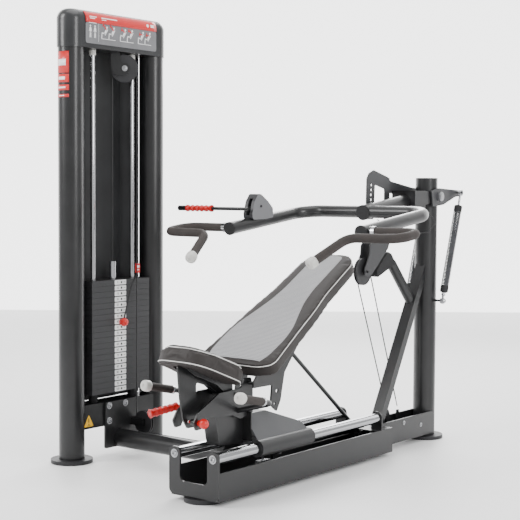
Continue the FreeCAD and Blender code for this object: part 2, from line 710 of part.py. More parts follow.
def build_lift_lever():
    reach = size("lever_outer")
    shaft = rod("pivot_bar", "pivot_radius", pivot_point(-reach - 18), pivot_point(reach + 18))
    nuts = [rod(f"pivot_nut_{side + 1}", "pivot_radius + 9", pivot_point(side * reach),
                pivot_point(side * (reach + 14))) for side in SIDES]
    node("pivot_shaft", fuse("pivot", shaft, *nuts))

    near = [(-82, 1304), (-66, 1222), (-2, 1227), (44, 1232), (166, 1272), (244, 1279), (243, 1305),
            (-4, 1318)]
    plate = side_plate("near_plate", near, "lever_inner", "lever_outer", -1, radius=8,
                       holes=[pivot_hole()])
    node("lever_plate", fuse("near_lever", plate, spring_head_stud(-1)))

    holes = []
    for step in range(5):
        angle = math.radians(7 - 3 * step)
        holes.append((-size("lock_radius") * math.cos(angle),
                      size("pivot_height") + size("lock_radius") * math.sin(angle), 8))
    front = [(-512, 1160), (-512, 1249), (-509, 1362), (-488, 1391), (-449, 1406), (-324, 1374),
             (-300, 1366), (-300, 1128), (-345, 1128), (-345, 1311), (-437, 1333), (-442, 1248),
             (-450, 1160)]
    leaf = side_plate("sector_front", front, "sector_inner", "sector_outer", 1, radius=5, holes=holes)
    fold_outline = [(-306, size("sector_inner")), (-306, size("sector_outer")),
                    (-262, size("lever_outer")), (-256, size("lever_outer")),
                    (-256, size("lever_inner")), (-262, size("lever_inner"))]
    fold_low = 1296
    fold_high = 1364
    fold = sketched_plate("sector_fold", "XY_Plane", fold_outline, str(fold_high - fold_low),
                          AXIS_Z * (fold_high + fold_low) / 2)
    rear = [(-260, 1364), (-235, 1351), (-26, 1320), (243, 1305), (244, 1279), (166, 1272),
            (44, 1232), (-2, 1227), (-66, 1222), (-82, 1262), (-187, 1281), (-260, 1296)]
    tail = side_plate("sector_rear", rear, "lever_inner", "lever_outer", 1, radius=5,
                      holes=[pivot_hole()])
    node("sector_plate", fuse("sector", leaf, fold, tail, spring_head_stud(1)))

    plane_y = size("pulley_plane")
    half = size("hanger_half")
    cheek = [(-560, 884), (-562, 916), (-518, 985), (-512, 1034), (-366, 1128), (-291, 1128),
             (-352, 1010), (-496, 889), (-525, 878)]
    parts = []
    for side in SIDES:
        outer = plane_y + side * half
        inner = outer - side * size("sheet_wall")
        low, high = sorted((inner, outer))
        parts.append(side_plate(f"hanger_cheek_{side + 1}", cheek, str(low), str(high), radius=9))
    parts.append(box("hanger_block", ("-378", "-300"),
                     ("pulley_plane - hanger_half", "pulley_plane + hanger_half"), ("1100", "1128")))
    centre = arm_pulley_centre()
    reach = AXIS_Y * (half + 8)
    parts.append(rod("hanger_axle", "shaft_radius", centre - reach, centre + reach))
    node("pulley_hanger", fuse("hanger", *parts))


def spring_head_stud(side):
    """A thin stud that the spring's head eye hangs on, with room round it."""
    centre = Vector(size("spring_head_centre"), 0, size("spring_head_height"))
    inner = AXIS_Y * (side * (size("lever_outer") - 2))
    outer = AXIS_Y * (side * (size("spring_offset") + 12))
    return rod(f"spring_head_stud_{side + 1}", "shaft_radius - 2", centre + inner, centre + outer)


# ---------------------------------------------------------------- press arm

FORK_SIDE_END = -1175
HANDLE_ROUTE = [(-1150, 396, 1124.5), (-1150, 652, 1124.5), (-1317, 652, 1103), (-1317, 396, 1101),
                (-1489, 335, 1002)]


def build_arm():
    front = on_arm(size("arm_front"), 0)
    rear = on_arm(size("yoke_front") + 8, 0)
    tube = rod("arm_bar", "arm_tube_radius", front, rear)
    block = box("yoke_block", ("yoke_front", "yoke_rear"), ("-yoke_half", "yoke_half"), ("1215", "1304"))
    parts = [tube, block]
    cheek = [(-200, 1218), (-200, 1302), (-40, 1302), (26, 1296), (26, 1252), (-40, 1246)]
    pivot_bore = (0, size("pivot_height"), size("pivot_radius") + size("running_gap"))
    for side in SIDES:
        parts.append(side_plate(f"yoke_cheek_{side + 1}", cheek, "yoke_inner", "yoke_half", side,
                                radius=12, holes=[pivot_bore]))

    # lock pin housing: a strap round the sector's front edge and a barrel behind it
    pin = lock_pin_centre()
    parts.append(box("pin_strap", ("-542", "-526"), ("25", "104"), (f"{pin.z} - 20", f"{pin.z} + 12")))
    parts.append(box("pin_back", ("-542", f"{pin.x} + 8"), ("90", "104"),
                     (f"{pin.z} - 14", f"{pin.z} + 12")))
    parts.append(rod("pin_barrel", "2 * lock_pin_radius", pin + AXIS_Y * 50, pin + AXIS_Y * 104))
    body = fuse("arm_body", *parts)
    bore = rod("pin_bore", "lock_pin_radius + running_gap", pin + AXIS_Y * 48, pin + AXIS_Y * 110)
    node("arm_tube", cut("arm", body, bore))

    pin_start = size("sector_outer") + size("touch_gap")
    shank = rod("lock_pin_shank", "lock_pin_radius", pin + AXIS_Y * pin_start, pin + AXIS_Y * 112)
    head = rod("lock_pin_head", "lock_pin_radius + 4", pin + AXIS_Y * 106, pin + AXIS_Y * 114)
    node("lock_pin", fuse("lock_pin_body", shank, head))


def lock_pin_centre():
    """The pin's axis in the arm, under the sector's middle hole at rest."""
    angle = math.atan(size("arm_slope"))
    radius = size("lock_radius")
    return Vector(-radius * math.cos(angle), 0, size("pivot_height") - radius * math.sin(angle))


def handle_route(side):
    return [mirrored(point, side) for point in HANDLE_ROUTE]


def end_knob(name, radius, start, heading, length):
    """A short round knob with both rims rounded, on the end of a grip."""
    blank = rod(f"{name}_blank", radius, start, start + heading * length)
    doc.recompute()
    knob = doc.addObject("Part::Fillet", name)
    knob.Base = blank
    rounding = size("knob_rounding")
    knob.Edges = [(i + 1, rounding, rounding) for i, edge in enumerate(blank.Shape.Edges)
                  if edge.Curve.TypeId == "Part::GeomCircle"]
    return knob


def build_fork():
    half = size("fork_half")
    cross = size("fork_cross")
    front = size("fork_front")
    points = [on_arm(front, -half), on_arm(cross, -half), on_arm(cross, half), on_arm(front, half)]
    frame = bent_bar("fork_frame", points, size("fork_bend"), size("fork_radius"))
    slope = Vector(1, 0, size("arm_slope")).normalize()
    arm = rod("fork_arm_cut", "arm_tube_radius", on_arm(size("arm_front"), 0) - slope * 30,
              on_arm(size("yoke_front"), 0))
    hollow = bent_bar("fork_hollow", points, size("fork_bend"), size("fork_radius") - size("fork_wall"))
    parts = [cut("fork_bend_bar", frame, arm, hollow)]
    grips = []
    knobs = []
    for side in SIDES:
        route = handle_route(side)
        end = route[-1] + (route[-2] - route[-1]).normalize() * 14
        route[-1] = end
        bend = size("handle_bend")
        parts.append(bent_bar(f"handle_{side + 1}", route, bend, size("bar_radius")))
        collar_start = mirrored((-1150, 398, 1124.5), side)
        collar_end = mirrored((-1150, 430, 1124.5), side)
        parts.append(rod(f"collar_{side + 1}", "grip_radius + 3", collar_start, collar_end))
        foam_route = [collar_end] + route[1:]
        foam = bent_bar(f"foam_{side + 1}", foam_route, bend, size("grip_radius"))
        core = bent_bar(f"foam_core_{side + 1}", route, bend, size("bar_radius"))
        grips.append(cut(f"grip_{side + 1}", foam, core))
        knobs.append(end_knob(f"knob_{side + 1}", "knob_radius", end, (end - route[-2]).normalize(),
                              size("knob_length")))
    node("arm_fork", fuse("fork", *parts))
    node("press_grips", group("grips", *grips))
    node("grip_knobs", group("knobs", *knobs))

    cap_face = slope * size("cap_length")
    cap_back = slope * size("touch_gap")
    arm_end = on_arm(size("arm_front"), 0)
    caps = [rod("arm_cap", "arm_tube_radius", arm_end - cap_face, arm_end - cap_back)]
    for side in SIDES:
        end = on_arm(front, side * half)
        caps.append(rod(f"fork_cap_{side + 1}", "fork_radius + 1.5", end - cap_face, end - cap_back))
    node("tube_caps", group("caps", *caps))


def build_release():
    """Squeeze lever in its housing on the far fork tube, with its cable under the arm."""
    outline = [(-1037, 1160), (-1041, 1190), (-1023, 1249), (-994, 1286), (-971, 1282), (-918, 1249),
               (-880, 1216), (-876, 1165)]
    inner = size("fork_half") - 28
    outer = size("fork_half") + 28
    shell = side_plate("housing_blank", outline, str(inner), str(outer), radius=16)
    tube = rod("housing_tube_cut", "fork_radius", on_arm(size("fork_front"), size("fork_half")),
               on_arm(-800, size("fork_half")))
    slot = box("housing_slot", ("-1060", "release_centre + 22"), ("fork_half - 10", "fork_half + 10"),
               ("1182", "1262"))
    centre = Vector(size("release_centre"), size("fork_half"), size("release_height"))
    reach = AXIS_Y * 40
    bore = rod("housing_bore", "shaft_radius + running_gap", centre - reach, centre + reach)
    node("lever_housing", cut("housing", shell, tube, slot, bore))

    rod_centre = Vector(-1062, 0, 1212)
    pin = rod("release_pin", "shaft_radius", centre - AXIS_Y * 31, centre + AXIS_Y * 31)
    hub = rod("release_hub", "shaft_radius + 7", centre - AXIS_Y * 8, centre + AXIS_Y * 8)
    link = rod("release_link", "shaft_radius", centre, rod_centre + AXIS_Y * size("fork_half"))
    grip_start = rod_centre + AXIS_Y * size("release_grip_start")
    grip_end = rod_centre + AXIS_Y * size("release_grip_end")
    bar = rod("release_bar", "release_bar_radius", rod_centre + AXIS_Y * 350, grip_end + AXIS_Y)
    tip = rod("release_tip", "release_grip_radius - 1.5", grip_end,
              rod_centre + AXIS_Y * size("release_end"))
    node("release_lever", fuse("release", pin, hub, link, bar, tip))
    sleeve = rod("release_sleeve", "release_grip_radius", grip_start, grip_end)
    hole = rod("release_sleeve_hole", "release_bar_radius", grip_start - AXIS_Y, grip_end + AXIS_Y)
    node("release_grip", cut("release_grip_tube", sleeve, hole))

    route = [Vector(-160, -30, 1211), Vector(-100, -70, 1196), Vector(-72, -100, 1140),
             Vector(-130, -90, 1092), Vector(-250, -60, 1082), Vector(-400, -50, 1118),
             Vector(-520, -30, 1160)]
    node("release_cable", bent_bar("release_run", route, 22, 2.5))


# ---------------------------------------------------------------- springs

def build_springs():
    foot = Vector(0, 0, size("spring_foot_height"))
    head = Vector(size("spring_head_centre"), 0, size("spring_head_height"))
    heading = (head - foot).normalize()
    length = (head - foot).Length
    coil_low = 50
    coil_high = length - 70
    coils = []
    tops = []
    for side in SIDES:
        offset = AXIS_Y * (side * size("spring_offset"))
        eye = rod(f"foot_eye_{side + 1}", "shaft_radius + 8", foot + offset - AXIS_Y * 8,
                  foot + offset + AXIS_Y * 8)
        neck = rod(f"foot_neck_{side + 1}", "6", foot + offset + heading * 8,
                   foot + offset + heading * (coil_low + 1))
        coil = rod(f"coil_{side + 1}", "spring_radius", foot + offset + heading * coil_low,
                   foot + offset + heading * coil_high)
        hole = rod(f"foot_hole_{side + 1}", "shaft_radius + running_gap", foot + offset - AXIS_Y * 10,
                   foot + offset + AXIS_Y * 10)
        coils.append(cut(f"spring_{side + 1}", fuse(f"spring_form_{side + 1}", eye, neck, coil), hole))
        ring = rod(f"head_eye_{side + 1}", "15", head + offset - AXIS_Y * 7, head + offset + AXIS_Y * 7)
        stalk = rod(f"head_stalk_{side + 1}", "6", foot + offset + heading * (coil_high + 0.3),
                    head + offset - heading * 8)
        gap = rod(f"head_hole_{side + 1}", "10", head + offset - AXIS_Y * 9, head + offset + AXIS_Y * 9)
        tops.append(cut(f"spring_top_{side + 1}", fuse(f"top_form_{side + 1}", ring, stalk), gap))
    node("spring_coils", group("coils", *coils))
    node("spring_tops", group("tops", *tops))


# ---------------------------------------------------------------- bench carriage

def build_carriage():
    parts = []
    height = size("rail_height")
    for side in SIDES:
        middle = side * size("rail_offset")
        start = Vector(size("sleeve_front"), middle, height)
        end = Vector(size("sleeve_rear"), middle, height)
        parts.append(rod(f"sleeve_{side + 1}", "sleeve_radius", start, end))
    outer = [(-118, 228), (-40, 338), (40, 338), (118, 228), (111, 228), (37, 332), (-37, 332),
             (-111, 228)]
    roof_front = -1572
    roof_rear = -1200
    roof = sketched_plate("roof_fold", "YZ_Plane", outer, str(roof_rear - roof_front),
                          AXIS_X * ((roof_front + roof_rear) / 2))
    silhouette = [(-1571, 340), (-1431, 340), (-1232, 269), (-1206, 231), (-1206, 222), (-1571, 222)]
    trim = side_plate("roof_trim", silhouette, "-140", "140")
    parts.append(common("roof", roof, trim))
    parts.append(box("carriage_tie", ("-1500", "-1400"), ("-80", "80"), ("190", "202")))
    bores = [rod(f"sleeve_bore_{side + 1}", "rail_radius + running_gap",
                 Vector(size("sleeve_front") - 5, side * size("rail_offset"), height),
                 Vector(size("sleeve_rear") + 5, side * size("rail_offset"), height)) for side in SIDES]
    guide = rod("shoe_guide", "shaft_radius + running_gap", Vector(-1450, -45, 180), Vector(-1450, -45, 210))
    node("carriage", cut("carriage_body", fuse("carriage_form", *parts), guide, *bores))

    shoe = box("shoe_block", ("-1485", "-1415"), ("-59", "-31"), ("105.4", "122"))
    stem = rod("shoe_stem", "shaft_radius", Vector(-1450, -45, 121), Vector(-1450, -45, 230))
    node("lock_shoe", fuse("lock_shoe_body", shoe, stem))


LOW_KNOB = (-1866, 257, 468)
LOW_BEND = (-1640, 245, 418)


def build_bench_frame():
    back_hinge = (size("back_hinge_centre"), size("back_hinge_height"))
    outline = [(-1898, 392), (-1822, 426), (-1765, 456), (-1690, 457), (-1620, 462), (-1596, 500),
               (-1552, 500), (-1540, 450), (-1540, 345), (-1624, 330), (-1676, 351), (-1777, 358),
               (-1855, 360), (-1878, 322), (-1912, 320), (-1926, 352)]
    gap = size("running_gap")
    holes = [back_hinge + (size("hinge_shaft_radius") + gap,),
             (size("seat_hinge_centre"), size("seat_hinge_height"), size("hinge_shaft_radius") + gap)]
    parts = [side_plate(f"bench_side_{side + 1}", outline, "side_plate_inner", "side_plate_outer", side,
                        radius=9, holes=holes) for side in SIDES]
    spine = [(-1767, 378), (-1574, 354), (-1574, 215), (-1735, 227)]
    parts.append(side_plate("bench_spine", spine, "-35", "35", radius=6))
    parts.append(box("bench_tie", ("-1750", "-1600"), ("-side_plate_outer + 2", "side_plate_outer - 2"),
                     ("358", "368")))
    parts.append(box("bench_foot_on_roof", ("-1573", "-1542"),
                     ("-side_plate_outer + 2", "side_plate_outer - 2"), ("348", "358")))
    parts.append(box("bench_shoulder", ("-1577", "-1571.2"), ("-80", "80"), ("228", "356")))
    for side in SIDES:
        corner = mirrored(LOW_BEND, side)
        grip_heading = (mirrored(LOW_KNOB, side) - corner).normalize()
        route = [mirrored((-1640, 56, 366), side), corner, mirrored(LOW_KNOB, side) - grip_heading * 15]
        parts.append(bent_bar(f"low_bar_{side + 1}", route, 45, size("low_bar_radius")))

    # barrel of the seat's pull pin, on the near side plate
    barrel = Vector(size("pull_pin_centre"), 0, size("pull_pin_height"))
    parts.append(rod("pin_barrel_front", "13", barrel + AXIS_Y * -22, barrel + AXIS_Y * -54))
    stud = Vector(size("slide_lever_centre"), 0, size("slide_lever_height"))
    parts.append(rod("slide_lever_stud", "shaft_radius", stud + AXIS_Y * 58, stud + AXIS_Y * 88))
    body = fuse("bench_form", *parts)
    bore = rod("pull_pin_bore", "shaft_radius + running_gap", barrel + AXIS_Y * -70, barrel + AXIS_Y * -10)
    node("bench_frame", cut("bench", body, bore))

    nose = rod("pull_pin_nose", "shaft_radius", barrel + AXIS_Y * -6.5, barrel + AXIS_Y * -66)
    knob = ball("pull_pin_knob", "21", barrel - AXIS_Y * 86)
    node("seat_pull_pin", fuse("pull_pin", nose, knob))

    grips = []
    knobs = []
    for side in SIDES:
        knob_centre = mirrored(LOW_KNOB, side)
        corner = mirrored(LOW_BEND, side)
        back = (corner - knob_centre).normalize()
        start = knob_centre + back * 15
        end = start + back * size("low_grip_length")
        foam = rod(f"low_foam_{side + 1}", "low_grip_radius", start, end)
        core = rod(f"low_foam_core_{side + 1}", "low_bar_radius", start - back * 5, end + back * 5)
        grips.append(cut(f"low_grip_{side + 1}", foam, core))
        knobs.append(end_knob(f"low_knob_{side + 1}", "low_knob_radius", start, back * -1,
                              size("low_knob_length")))
    node("low_grips", group("low_grip_pair", *grips))
    node("low_knobs", group("low_knob_pair", *knobs))


def build_slide_lever():
    pivot = Vector(size("slide_lever_centre"), 72, size("slide_lever_height"))
    hub = rod("slide_hub", "14", pivot - AXIS_Y * 10, pivot + AXIS_Y * 10)
    grip_start = Vector(-1770, 171, 377)
    grip_end = Vector(-1900, 210, 357)
    route = [pivot + Vector(-6, 4, 0), Vector(-1712, 120, 384), grip_start, grip_end]
    arm = bent_bar("slide_arm", route, 18, 7)
    grip = rod("slide_grip", "slide_grip_radius", grip_start, grip_end)
    hole = rod("slide_hub_hole", "shaft_radius + running_gap", pivot - AXIS_Y * 12, pivot + AXIS_Y * 18)
    node("slide_lever", cut("slide", fuse("slide_form", hub, arm, grip), hole))


# ---------------------------------------------------------------- seat and backrest

def back_frame_point(distance, drop):
    """A point of the backrest: distance up the slope from the reference, drop below its front."""
    angle = math.radians(size("back_angle"))
    slope = Vector(math.cos(angle), 0, math.sin(angle))
    normal = Vector(-math.sin(angle), 0, math.cos(angle))
    start = Vector(size("back_reference"), 0, size("back_height"))
    return start + slope * distance - normal * drop


def build_backrest():
    half = [(-375, 150), (-345, 213), (-100, 191), (70, 180), (200, 157), (460, 147), (520, 100)]
    outline = [(x, -y) for x, y in half] + [(x, y) for x, y in reversed(half)]
    pad = sketched_plate("back_pad", "XY_Plane", outline, "back_thickness", Vector(), radius=26)
    pad.Placement = Placement(back_frame_point(0, size("back_thickness") / 2),
                              Rotation(AXIS_Y, -size("back_angle")))
    node("backrest_pad", pad)

    drop = size("back_thickness") + 0.3
    points = [back_frame_point(-330, drop), back_frame_point(430, drop), back_frame_point(430, drop + 26),
              back_frame_point(40, drop + 34), back_frame_point(-40, drop + 60)]
    outline = [(p.x, p.z) for p in points]
    outline += [(-1371, 506), (-1399, 386), (-1427, 341), (-1470, 373), (-1460, 459), (-1552, 460),
                (-1590, 460), (-1590, 486)]
    holes = [(-1425, 430, 9), (-1440, 375, 7)]
    parts = [side_plate(f"back_rail_{side + 1}", outline, "back_rail_inner", "back_rail_outer", side,
                        radius=4, holes=holes) for side in SIDES]
    reach = size("back_rail_outer") - 1
    hinge = Vector(size("back_hinge_centre"), 0, size("back_hinge_height"))
    head = Vector(size("prop_head_centre"), 0, size("prop_head_height"))
    parts.append(rod("back_hinge_shaft", "hinge_shaft_radius", hinge - AXIS_Y * reach,
                     hinge + AXIS_Y * reach))
    tie = Vector(-1385, 0, 480)
    parts.append(rod("back_tie", "shaft_radius", tie - AXIS_Y * reach, tie + AXIS_Y * reach))
    parts.append(rod("prop_head_pin", "prop_pin_radius", head - AXIS_Y * reach, head + AXIS_Y * reach))
    for distance in (-180, 330):
        start = back_frame_point(distance, drop + 7)
        bar = doc.addObject("Part::Box", f"back_cross_{int(distance + 200)}")
        bar.Length = 50
        bind(bar, "Width", "2 * back_rail_outer - 2")
        bar.Height = 6
        bar.Placement = Placement(start - AXIS_Y * reach, Rotation(AXIS_Y, -size("back_angle")))
        parts.append(bar)
    node("backrest_frame", fuse("back_frame", *parts))

    foot = Vector(size("prop_foot_centre"), 0, size("prop_foot_height"))
    bar = rod("prop_bar", "prop_radius", foot, head)
    ends = [rod("prop_foot_eye", "prop_eye - 3", foot - AXIS_Y * 12, foot + AXIS_Y * 12),
            rod("prop_head_eye", "prop_eye + 3", head - AXIS_Y * 12, head + AXIS_Y * 12)]
    holes = [rod("prop_foot_hole", "shaft_radius + running_gap", foot - AXIS_Y * 14, foot + AXIS_Y * 14),
             rod("prop_head_hole", "prop_eye - 3", head - AXIS_Y * 14, head + AXIS_Y * 14)]
    node("prop_rod", cut("prop", fuse("prop_form", bar, *ends), *holes))


def seat_point(distance, drop):
    """A point of the seat: distance back from its front edge, drop below its top."""
    angle = math.radians(size("seat_angle"))
    slope = Vector(math.cos(angle), 0, -math.sin(angle))
    normal = Vector(math.sin(angle), 0, math.cos(angle))
    start = Vector(size("seat_front"), 0, size("seat_height"))
    return start + slope * distance - normal * drop


def build_seat():
    length = size("seat_length")
    outline = [(0, -140), (length, -170), (length, 170), (0, 140)]
    pad = sketched_plate("seat_pad_body", "XY_Plane", outline, "seat_thickness", Vector(), radius=72)
    pad.Placement = Placement(seat_point(0, size("seat_thickness") / 2),
                              Rotation(AXIS_Y, size("seat_angle")))
    node("seat_pad", pad)

    drop = size("seat_thickness") + 0.3
    under = [seat_point(25, drop), seat_point(length - 25, drop)]
    hinge = (size("seat_hinge_centre"), size("seat_hinge_height"))
    top_run = [(p.x, p.z) for p in under]
    hinge_end = [(hinge[0] + 16, hinge[1] + 12), (hinge[0] + 16, hinge[1] - 14),
                 (hinge[0] - 16, hinge[1] - 14)]
    outline = top_run + hinge_end
    outline += [(-1760, 478), (-1850, 507), (-1850, 458), (-1834, 385), (-1862, 322), (-1902, 322),
                (-1930, 362), (-1948, 445), (-1961, 555)]
    pin_hole = (size("pull_pin_centre"), size("pull_pin_height"), 7)
    plate = side_plate("seat_sector", outline, "-6", "2", radius=9, holes=[pin_hole])
    rails = []
    for side in SIDES:
        rail = top_run + hinge_end + [(-1760, 490), (-1900, 545)]
        rails.append(side_plate(f"seat_rail_{side + 1}", rail, "36", "42", side, radius=4))
    reach = size("side_plate_outer") + 4
    centre = Vector(hinge[0], 0, hinge[1])
    shaft = rod("seat_shaft", "hinge_shaft_radius", centre - AXIS_Y * reach, centre + AXIS_Y * reach)
    tie = rod("seat_tie", "shaft_radius", Vector(-1860, -42, 537), Vector(-1860, 42, 537))
    node("seat_frame", fuse("seat_frame_body", plate, *rails, shaft, tie))


# ---------------------------------------------------------------- fasteners

def build_bolts():
    """Bolt heads on the end plate's ears and on the tower plate."""
    heads = []
    face = size("channel_front") - size("end_plate_thickness")
    for index, side in enumerate(SIDES):
        centre = Vector(face, side * size("rail_offset"), size("rail_height"))
        heads.append(rod(f"rail_bolt_{index}", "bolt_radius", centre, centre - AXIS_X * size("bolt_height")))
    plate_y = size("tower_plate_face")
    for index, (x, z) in enumerate(((-1423, 252), (-1312, 252), (-1423, 178))):
        centre = Vector(x, plate_y, z)
        heads.append(rod(f"tower_bolt_{index}", "bolt_radius", centre,
                         centre - AXIS_Y * size("bolt_height")))
    node("frame_bolts", group("bolts", *heads))


build_feet()
build_column()
build_channel()
build_front_plate()
build_beam()
build_strut()
build_bumper()
build_rails()
build_cross_tube()
build_tower()
build_stack()
build_tower_cable()
build_strand("front_strand", *front_strand())
build_strand("rear_strand", *rear_strand())
build_pulleys()
build_lift_lever()
build_arm()
build_fork()
build_release()
build_springs()
build_carriage()
build_bench_frame()
build_slide_lever()
build_backrest()
build_seat()
build_bolts()
doc.recompute()

for item in doc.Objects:
    if "Invalid" in item.State or "Error" in item.State:
        raise RuntimeError(f"{item.Name} failed: {item.State}")
for item in NODES:
    if item.Shape.isNull() or not item.Shape.isValid():
        raise RuntimeError(f"{item.Label} has no valid shape")
for item in NODES:
    item.Shape.exportStep(os.path.join("parts", item.Label + ".step"))
    print(item.Label, len(item.Shape.Solids), "solids", round(item.Shape.Volume / 1000), "cm3")
print(len(NODES), "nodes")
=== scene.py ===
import json
import math
import bmesh
import bpy
from mathutils import Matrix, Vector
from mathutils.bvhtree import BVHTree


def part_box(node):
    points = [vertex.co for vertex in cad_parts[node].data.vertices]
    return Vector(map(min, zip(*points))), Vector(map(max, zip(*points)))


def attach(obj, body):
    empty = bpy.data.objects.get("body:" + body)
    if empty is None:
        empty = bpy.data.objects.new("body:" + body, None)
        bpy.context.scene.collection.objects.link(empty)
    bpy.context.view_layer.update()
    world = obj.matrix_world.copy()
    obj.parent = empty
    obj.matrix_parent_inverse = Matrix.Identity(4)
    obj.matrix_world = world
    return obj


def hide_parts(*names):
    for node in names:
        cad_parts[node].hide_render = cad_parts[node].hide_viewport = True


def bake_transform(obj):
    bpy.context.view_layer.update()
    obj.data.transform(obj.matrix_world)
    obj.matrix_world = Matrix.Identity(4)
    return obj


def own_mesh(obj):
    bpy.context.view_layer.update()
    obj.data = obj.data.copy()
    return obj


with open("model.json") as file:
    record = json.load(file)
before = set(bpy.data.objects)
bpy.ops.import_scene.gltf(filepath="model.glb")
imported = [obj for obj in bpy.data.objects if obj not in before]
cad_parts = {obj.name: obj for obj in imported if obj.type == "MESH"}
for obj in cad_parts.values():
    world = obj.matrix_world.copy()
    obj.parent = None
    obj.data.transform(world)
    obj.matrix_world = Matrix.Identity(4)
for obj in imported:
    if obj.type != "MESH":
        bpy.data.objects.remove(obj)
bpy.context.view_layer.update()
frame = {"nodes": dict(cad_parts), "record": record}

X, Y, Z = Vector((1, 0, 0)), Vector((0, 1, 0)), Vector((0, 0, 1))
SIDES = (-1, 1)
scene = bpy.context.scene

# measures used in more than one place, in metres and radians
BACK_ANGLE, SEAT_ANGLE = math.radians(29.9), math.radians(-22.0)
RAIL_Y, RAIL_Z, SLEEVE_RADIUS = 0.105, 0.198, 0.0385
PITCH_Z, STACK_LOW, PLATE_FACE = 0.0275, 0.314, 0.0252
HEADER_X, FILLET_Y, FILLET_Z = -1.3425, 0.964, 2.097

# ---------------------------------------------------------------- camera
YAW, PITCH, ROLL = math.radians(38.0), math.radians(3.142), math.radians(0.3127)
IMAGE_WIDTH = 520
FOCAL_PIXELS = 1264.1
SENSOR = 36.0
look = Vector((math.cos(YAW) * math.cos(PITCH), math.sin(YAW) * math.cos(PITCH), -math.sin(PITCH)))
level_right = Vector((math.sin(YAW), -math.cos(YAW), 0))
level_up = level_right.cross(look)
right = level_right * math.cos(ROLL) + level_up * math.sin(ROLL)
up = right.cross(look)
camera_data = bpy.data.cameras.new("camera")
camera_data.sensor_width = SENSOR
camera_data.lens = SENSOR * FOCAL_PIXELS / IMAGE_WIDTH
camera_data.clip_end = 100
camera = bpy.data.objects.new("camera", camera_data)
scene.collection.objects.link(camera)
camera.location = (-5.7807, -3.4084, 1.300)
camera.rotation_mode = "QUATERNION"
camera.rotation_quaternion = Matrix((right, up, -look)).transposed().to_quaternion()
scene.camera = camera


# ---------------------------------------------------------------- materials
class Shader:
    """A Principled material built node by node."""

    def __init__(self, name):
        self.material = bpy.data.materials.new(name)
        self.material.use_nodes = True
        self.tree = self.material.node_tree
        self.shader = self.tree.nodes["Principled BSDF"]
        self.coord = self.tree.nodes.new("ShaderNodeTexCoord").outputs["Object"]
        self.normal = None

    def add(self, kind, **inputs):
        item = self.tree.nodes.new("ShaderNode" + kind)
        for key, value in inputs.items():
            socket = item.inputs[key.replace("_", " ")]
            if isinstance(value, bpy.types.NodeSocket):
                self.tree.links.new(value, socket)
            else:
                socket.default_value = value
        return item

    def noise(self, scale, detail=3.0, rough=0.5, stretch=None):
        source = self.coord
        if stretch:
            source = self.add("Mapping", Vector=source, Scale=stretch).outputs["Vector"]
        return self.add("TexNoise", Vector=source, Scale=scale, Detail=detail,
                        Roughness=rough).outputs["Fac"]

    def span(self, value, low, high, to_low=0.0, to_high=1.0):
        item = self.add("MapRange")
        self.tree.links.new(value, item.inputs[0])
        for index, number in enumerate((low, high, to_low, to_high), start=1):
            item.inputs[index].default_value = number
        return item.outputs[0]

    def mix(self, factor, first, second):
        item = self.tree.nodes.new("ShaderNodeMix")
        item.data_type = "RGBA"
        for index, value in ((0, factor), (6, first), (7, second)):
            if isinstance(value, bpy.types.NodeSocket):
                self.tree.links.new(value, item.inputs[index])
            elif index:
                item.inputs[index].default_value = (*value, 1)
            else:
                item.inputs[index].default_value = value
        return item.outputs[2]

    def math(self, operation, first, second):
        item = self.tree.nodes.new("ShaderNodeMath")
        item.operation = operation
        for index, value in enumerate((first, second)):
            if isinstance(value, bpy.types.NodeSocket):
                self.tree.links.new(value, item.inputs[index])
            else:
                item.inputs[index].default_value = value
        return item.outputs[0]

    def bump(self, height, strength, distance):
        item = self.add("Bump", Strength=strength, Distance=distance, Height=height)
        if self.normal:
            self.tree.links.new(self.normal, item.inputs["Normal"])
        self.normal = item.outputs["Normal"]
        self.tree.links.new(self.normal, self.shader.inputs["Normal"])

    def wire(self, value, name):
        self.tree.links.new(value, self.shader.inputs[name])

    def set(self, **inputs):
        for key, value in inputs.items():
            self.shader.inputs[key.replace("_", " ")].default_value = value


def shade(colour, factor):
    return tuple(min(1.0, part * factor) for part in colour)


def painted(name, colour, rough, grain=900, depth=0.00006, coat=0.0, mottle=0.35):
    """Powder coat or moulded plastic: fine texture, slow colour drift, dust and rubbed patches."""
    made = Shader(name)
    broad = made.noise(6, 4)
    fine = made.noise(grain, 2)
    scuff = made.span(made.noise(38, 6, 0.7), 0.56, 0.74)
    body = made.mix(made.span(broad, 0.3, 0.7), shade(colour, 1 - mottle),
                    shade(colour, 1 + mottle))
    made.wire(made.mix(made.math("MULTIPLY", scuff, 0.22), body, shade(colour, 2.2)), "Base Color")
    gloss = made.math("ADD", made.span(broad, 0.3, 0.7, rough - 0.04, rough + 0.05),
                      made.math("MULTIPLY", scuff, 0.09))
    made.wire(gloss, "Roughness")
    made.bump(fine, 0.5, depth)
    made.set(Specular_IOR_Level=0.4, Coat_Weight=coat, Coat_Roughness=0.2)
    return made.material


def metal(name, colour, rough, stretch, streak=0.12, depth=0.00002):
    """Bare or plated metal with fine drawing lines along one direction and faint handling marks."""
    made = Shader(name)
    lines = made.noise(220, 3, 0.6, stretch)
    smudge = made.noise(14, 5, 0.65)
    made.wire(made.mix(made.span(lines, 0.3, 0.7), shade(colour, 1 - streak), colour), "Base Color")
    made.wire(made.math("ADD", made.span(smudge, 0.35, 0.75, rough * 0.7, rough * 1.5),
                        made.span(lines, 0.3, 0.7, 0.0, rough * 0.3)), "Roughness")
    made.bump(lines, 0.35, depth)
    made.set(Metallic=1.0)
    return made.material


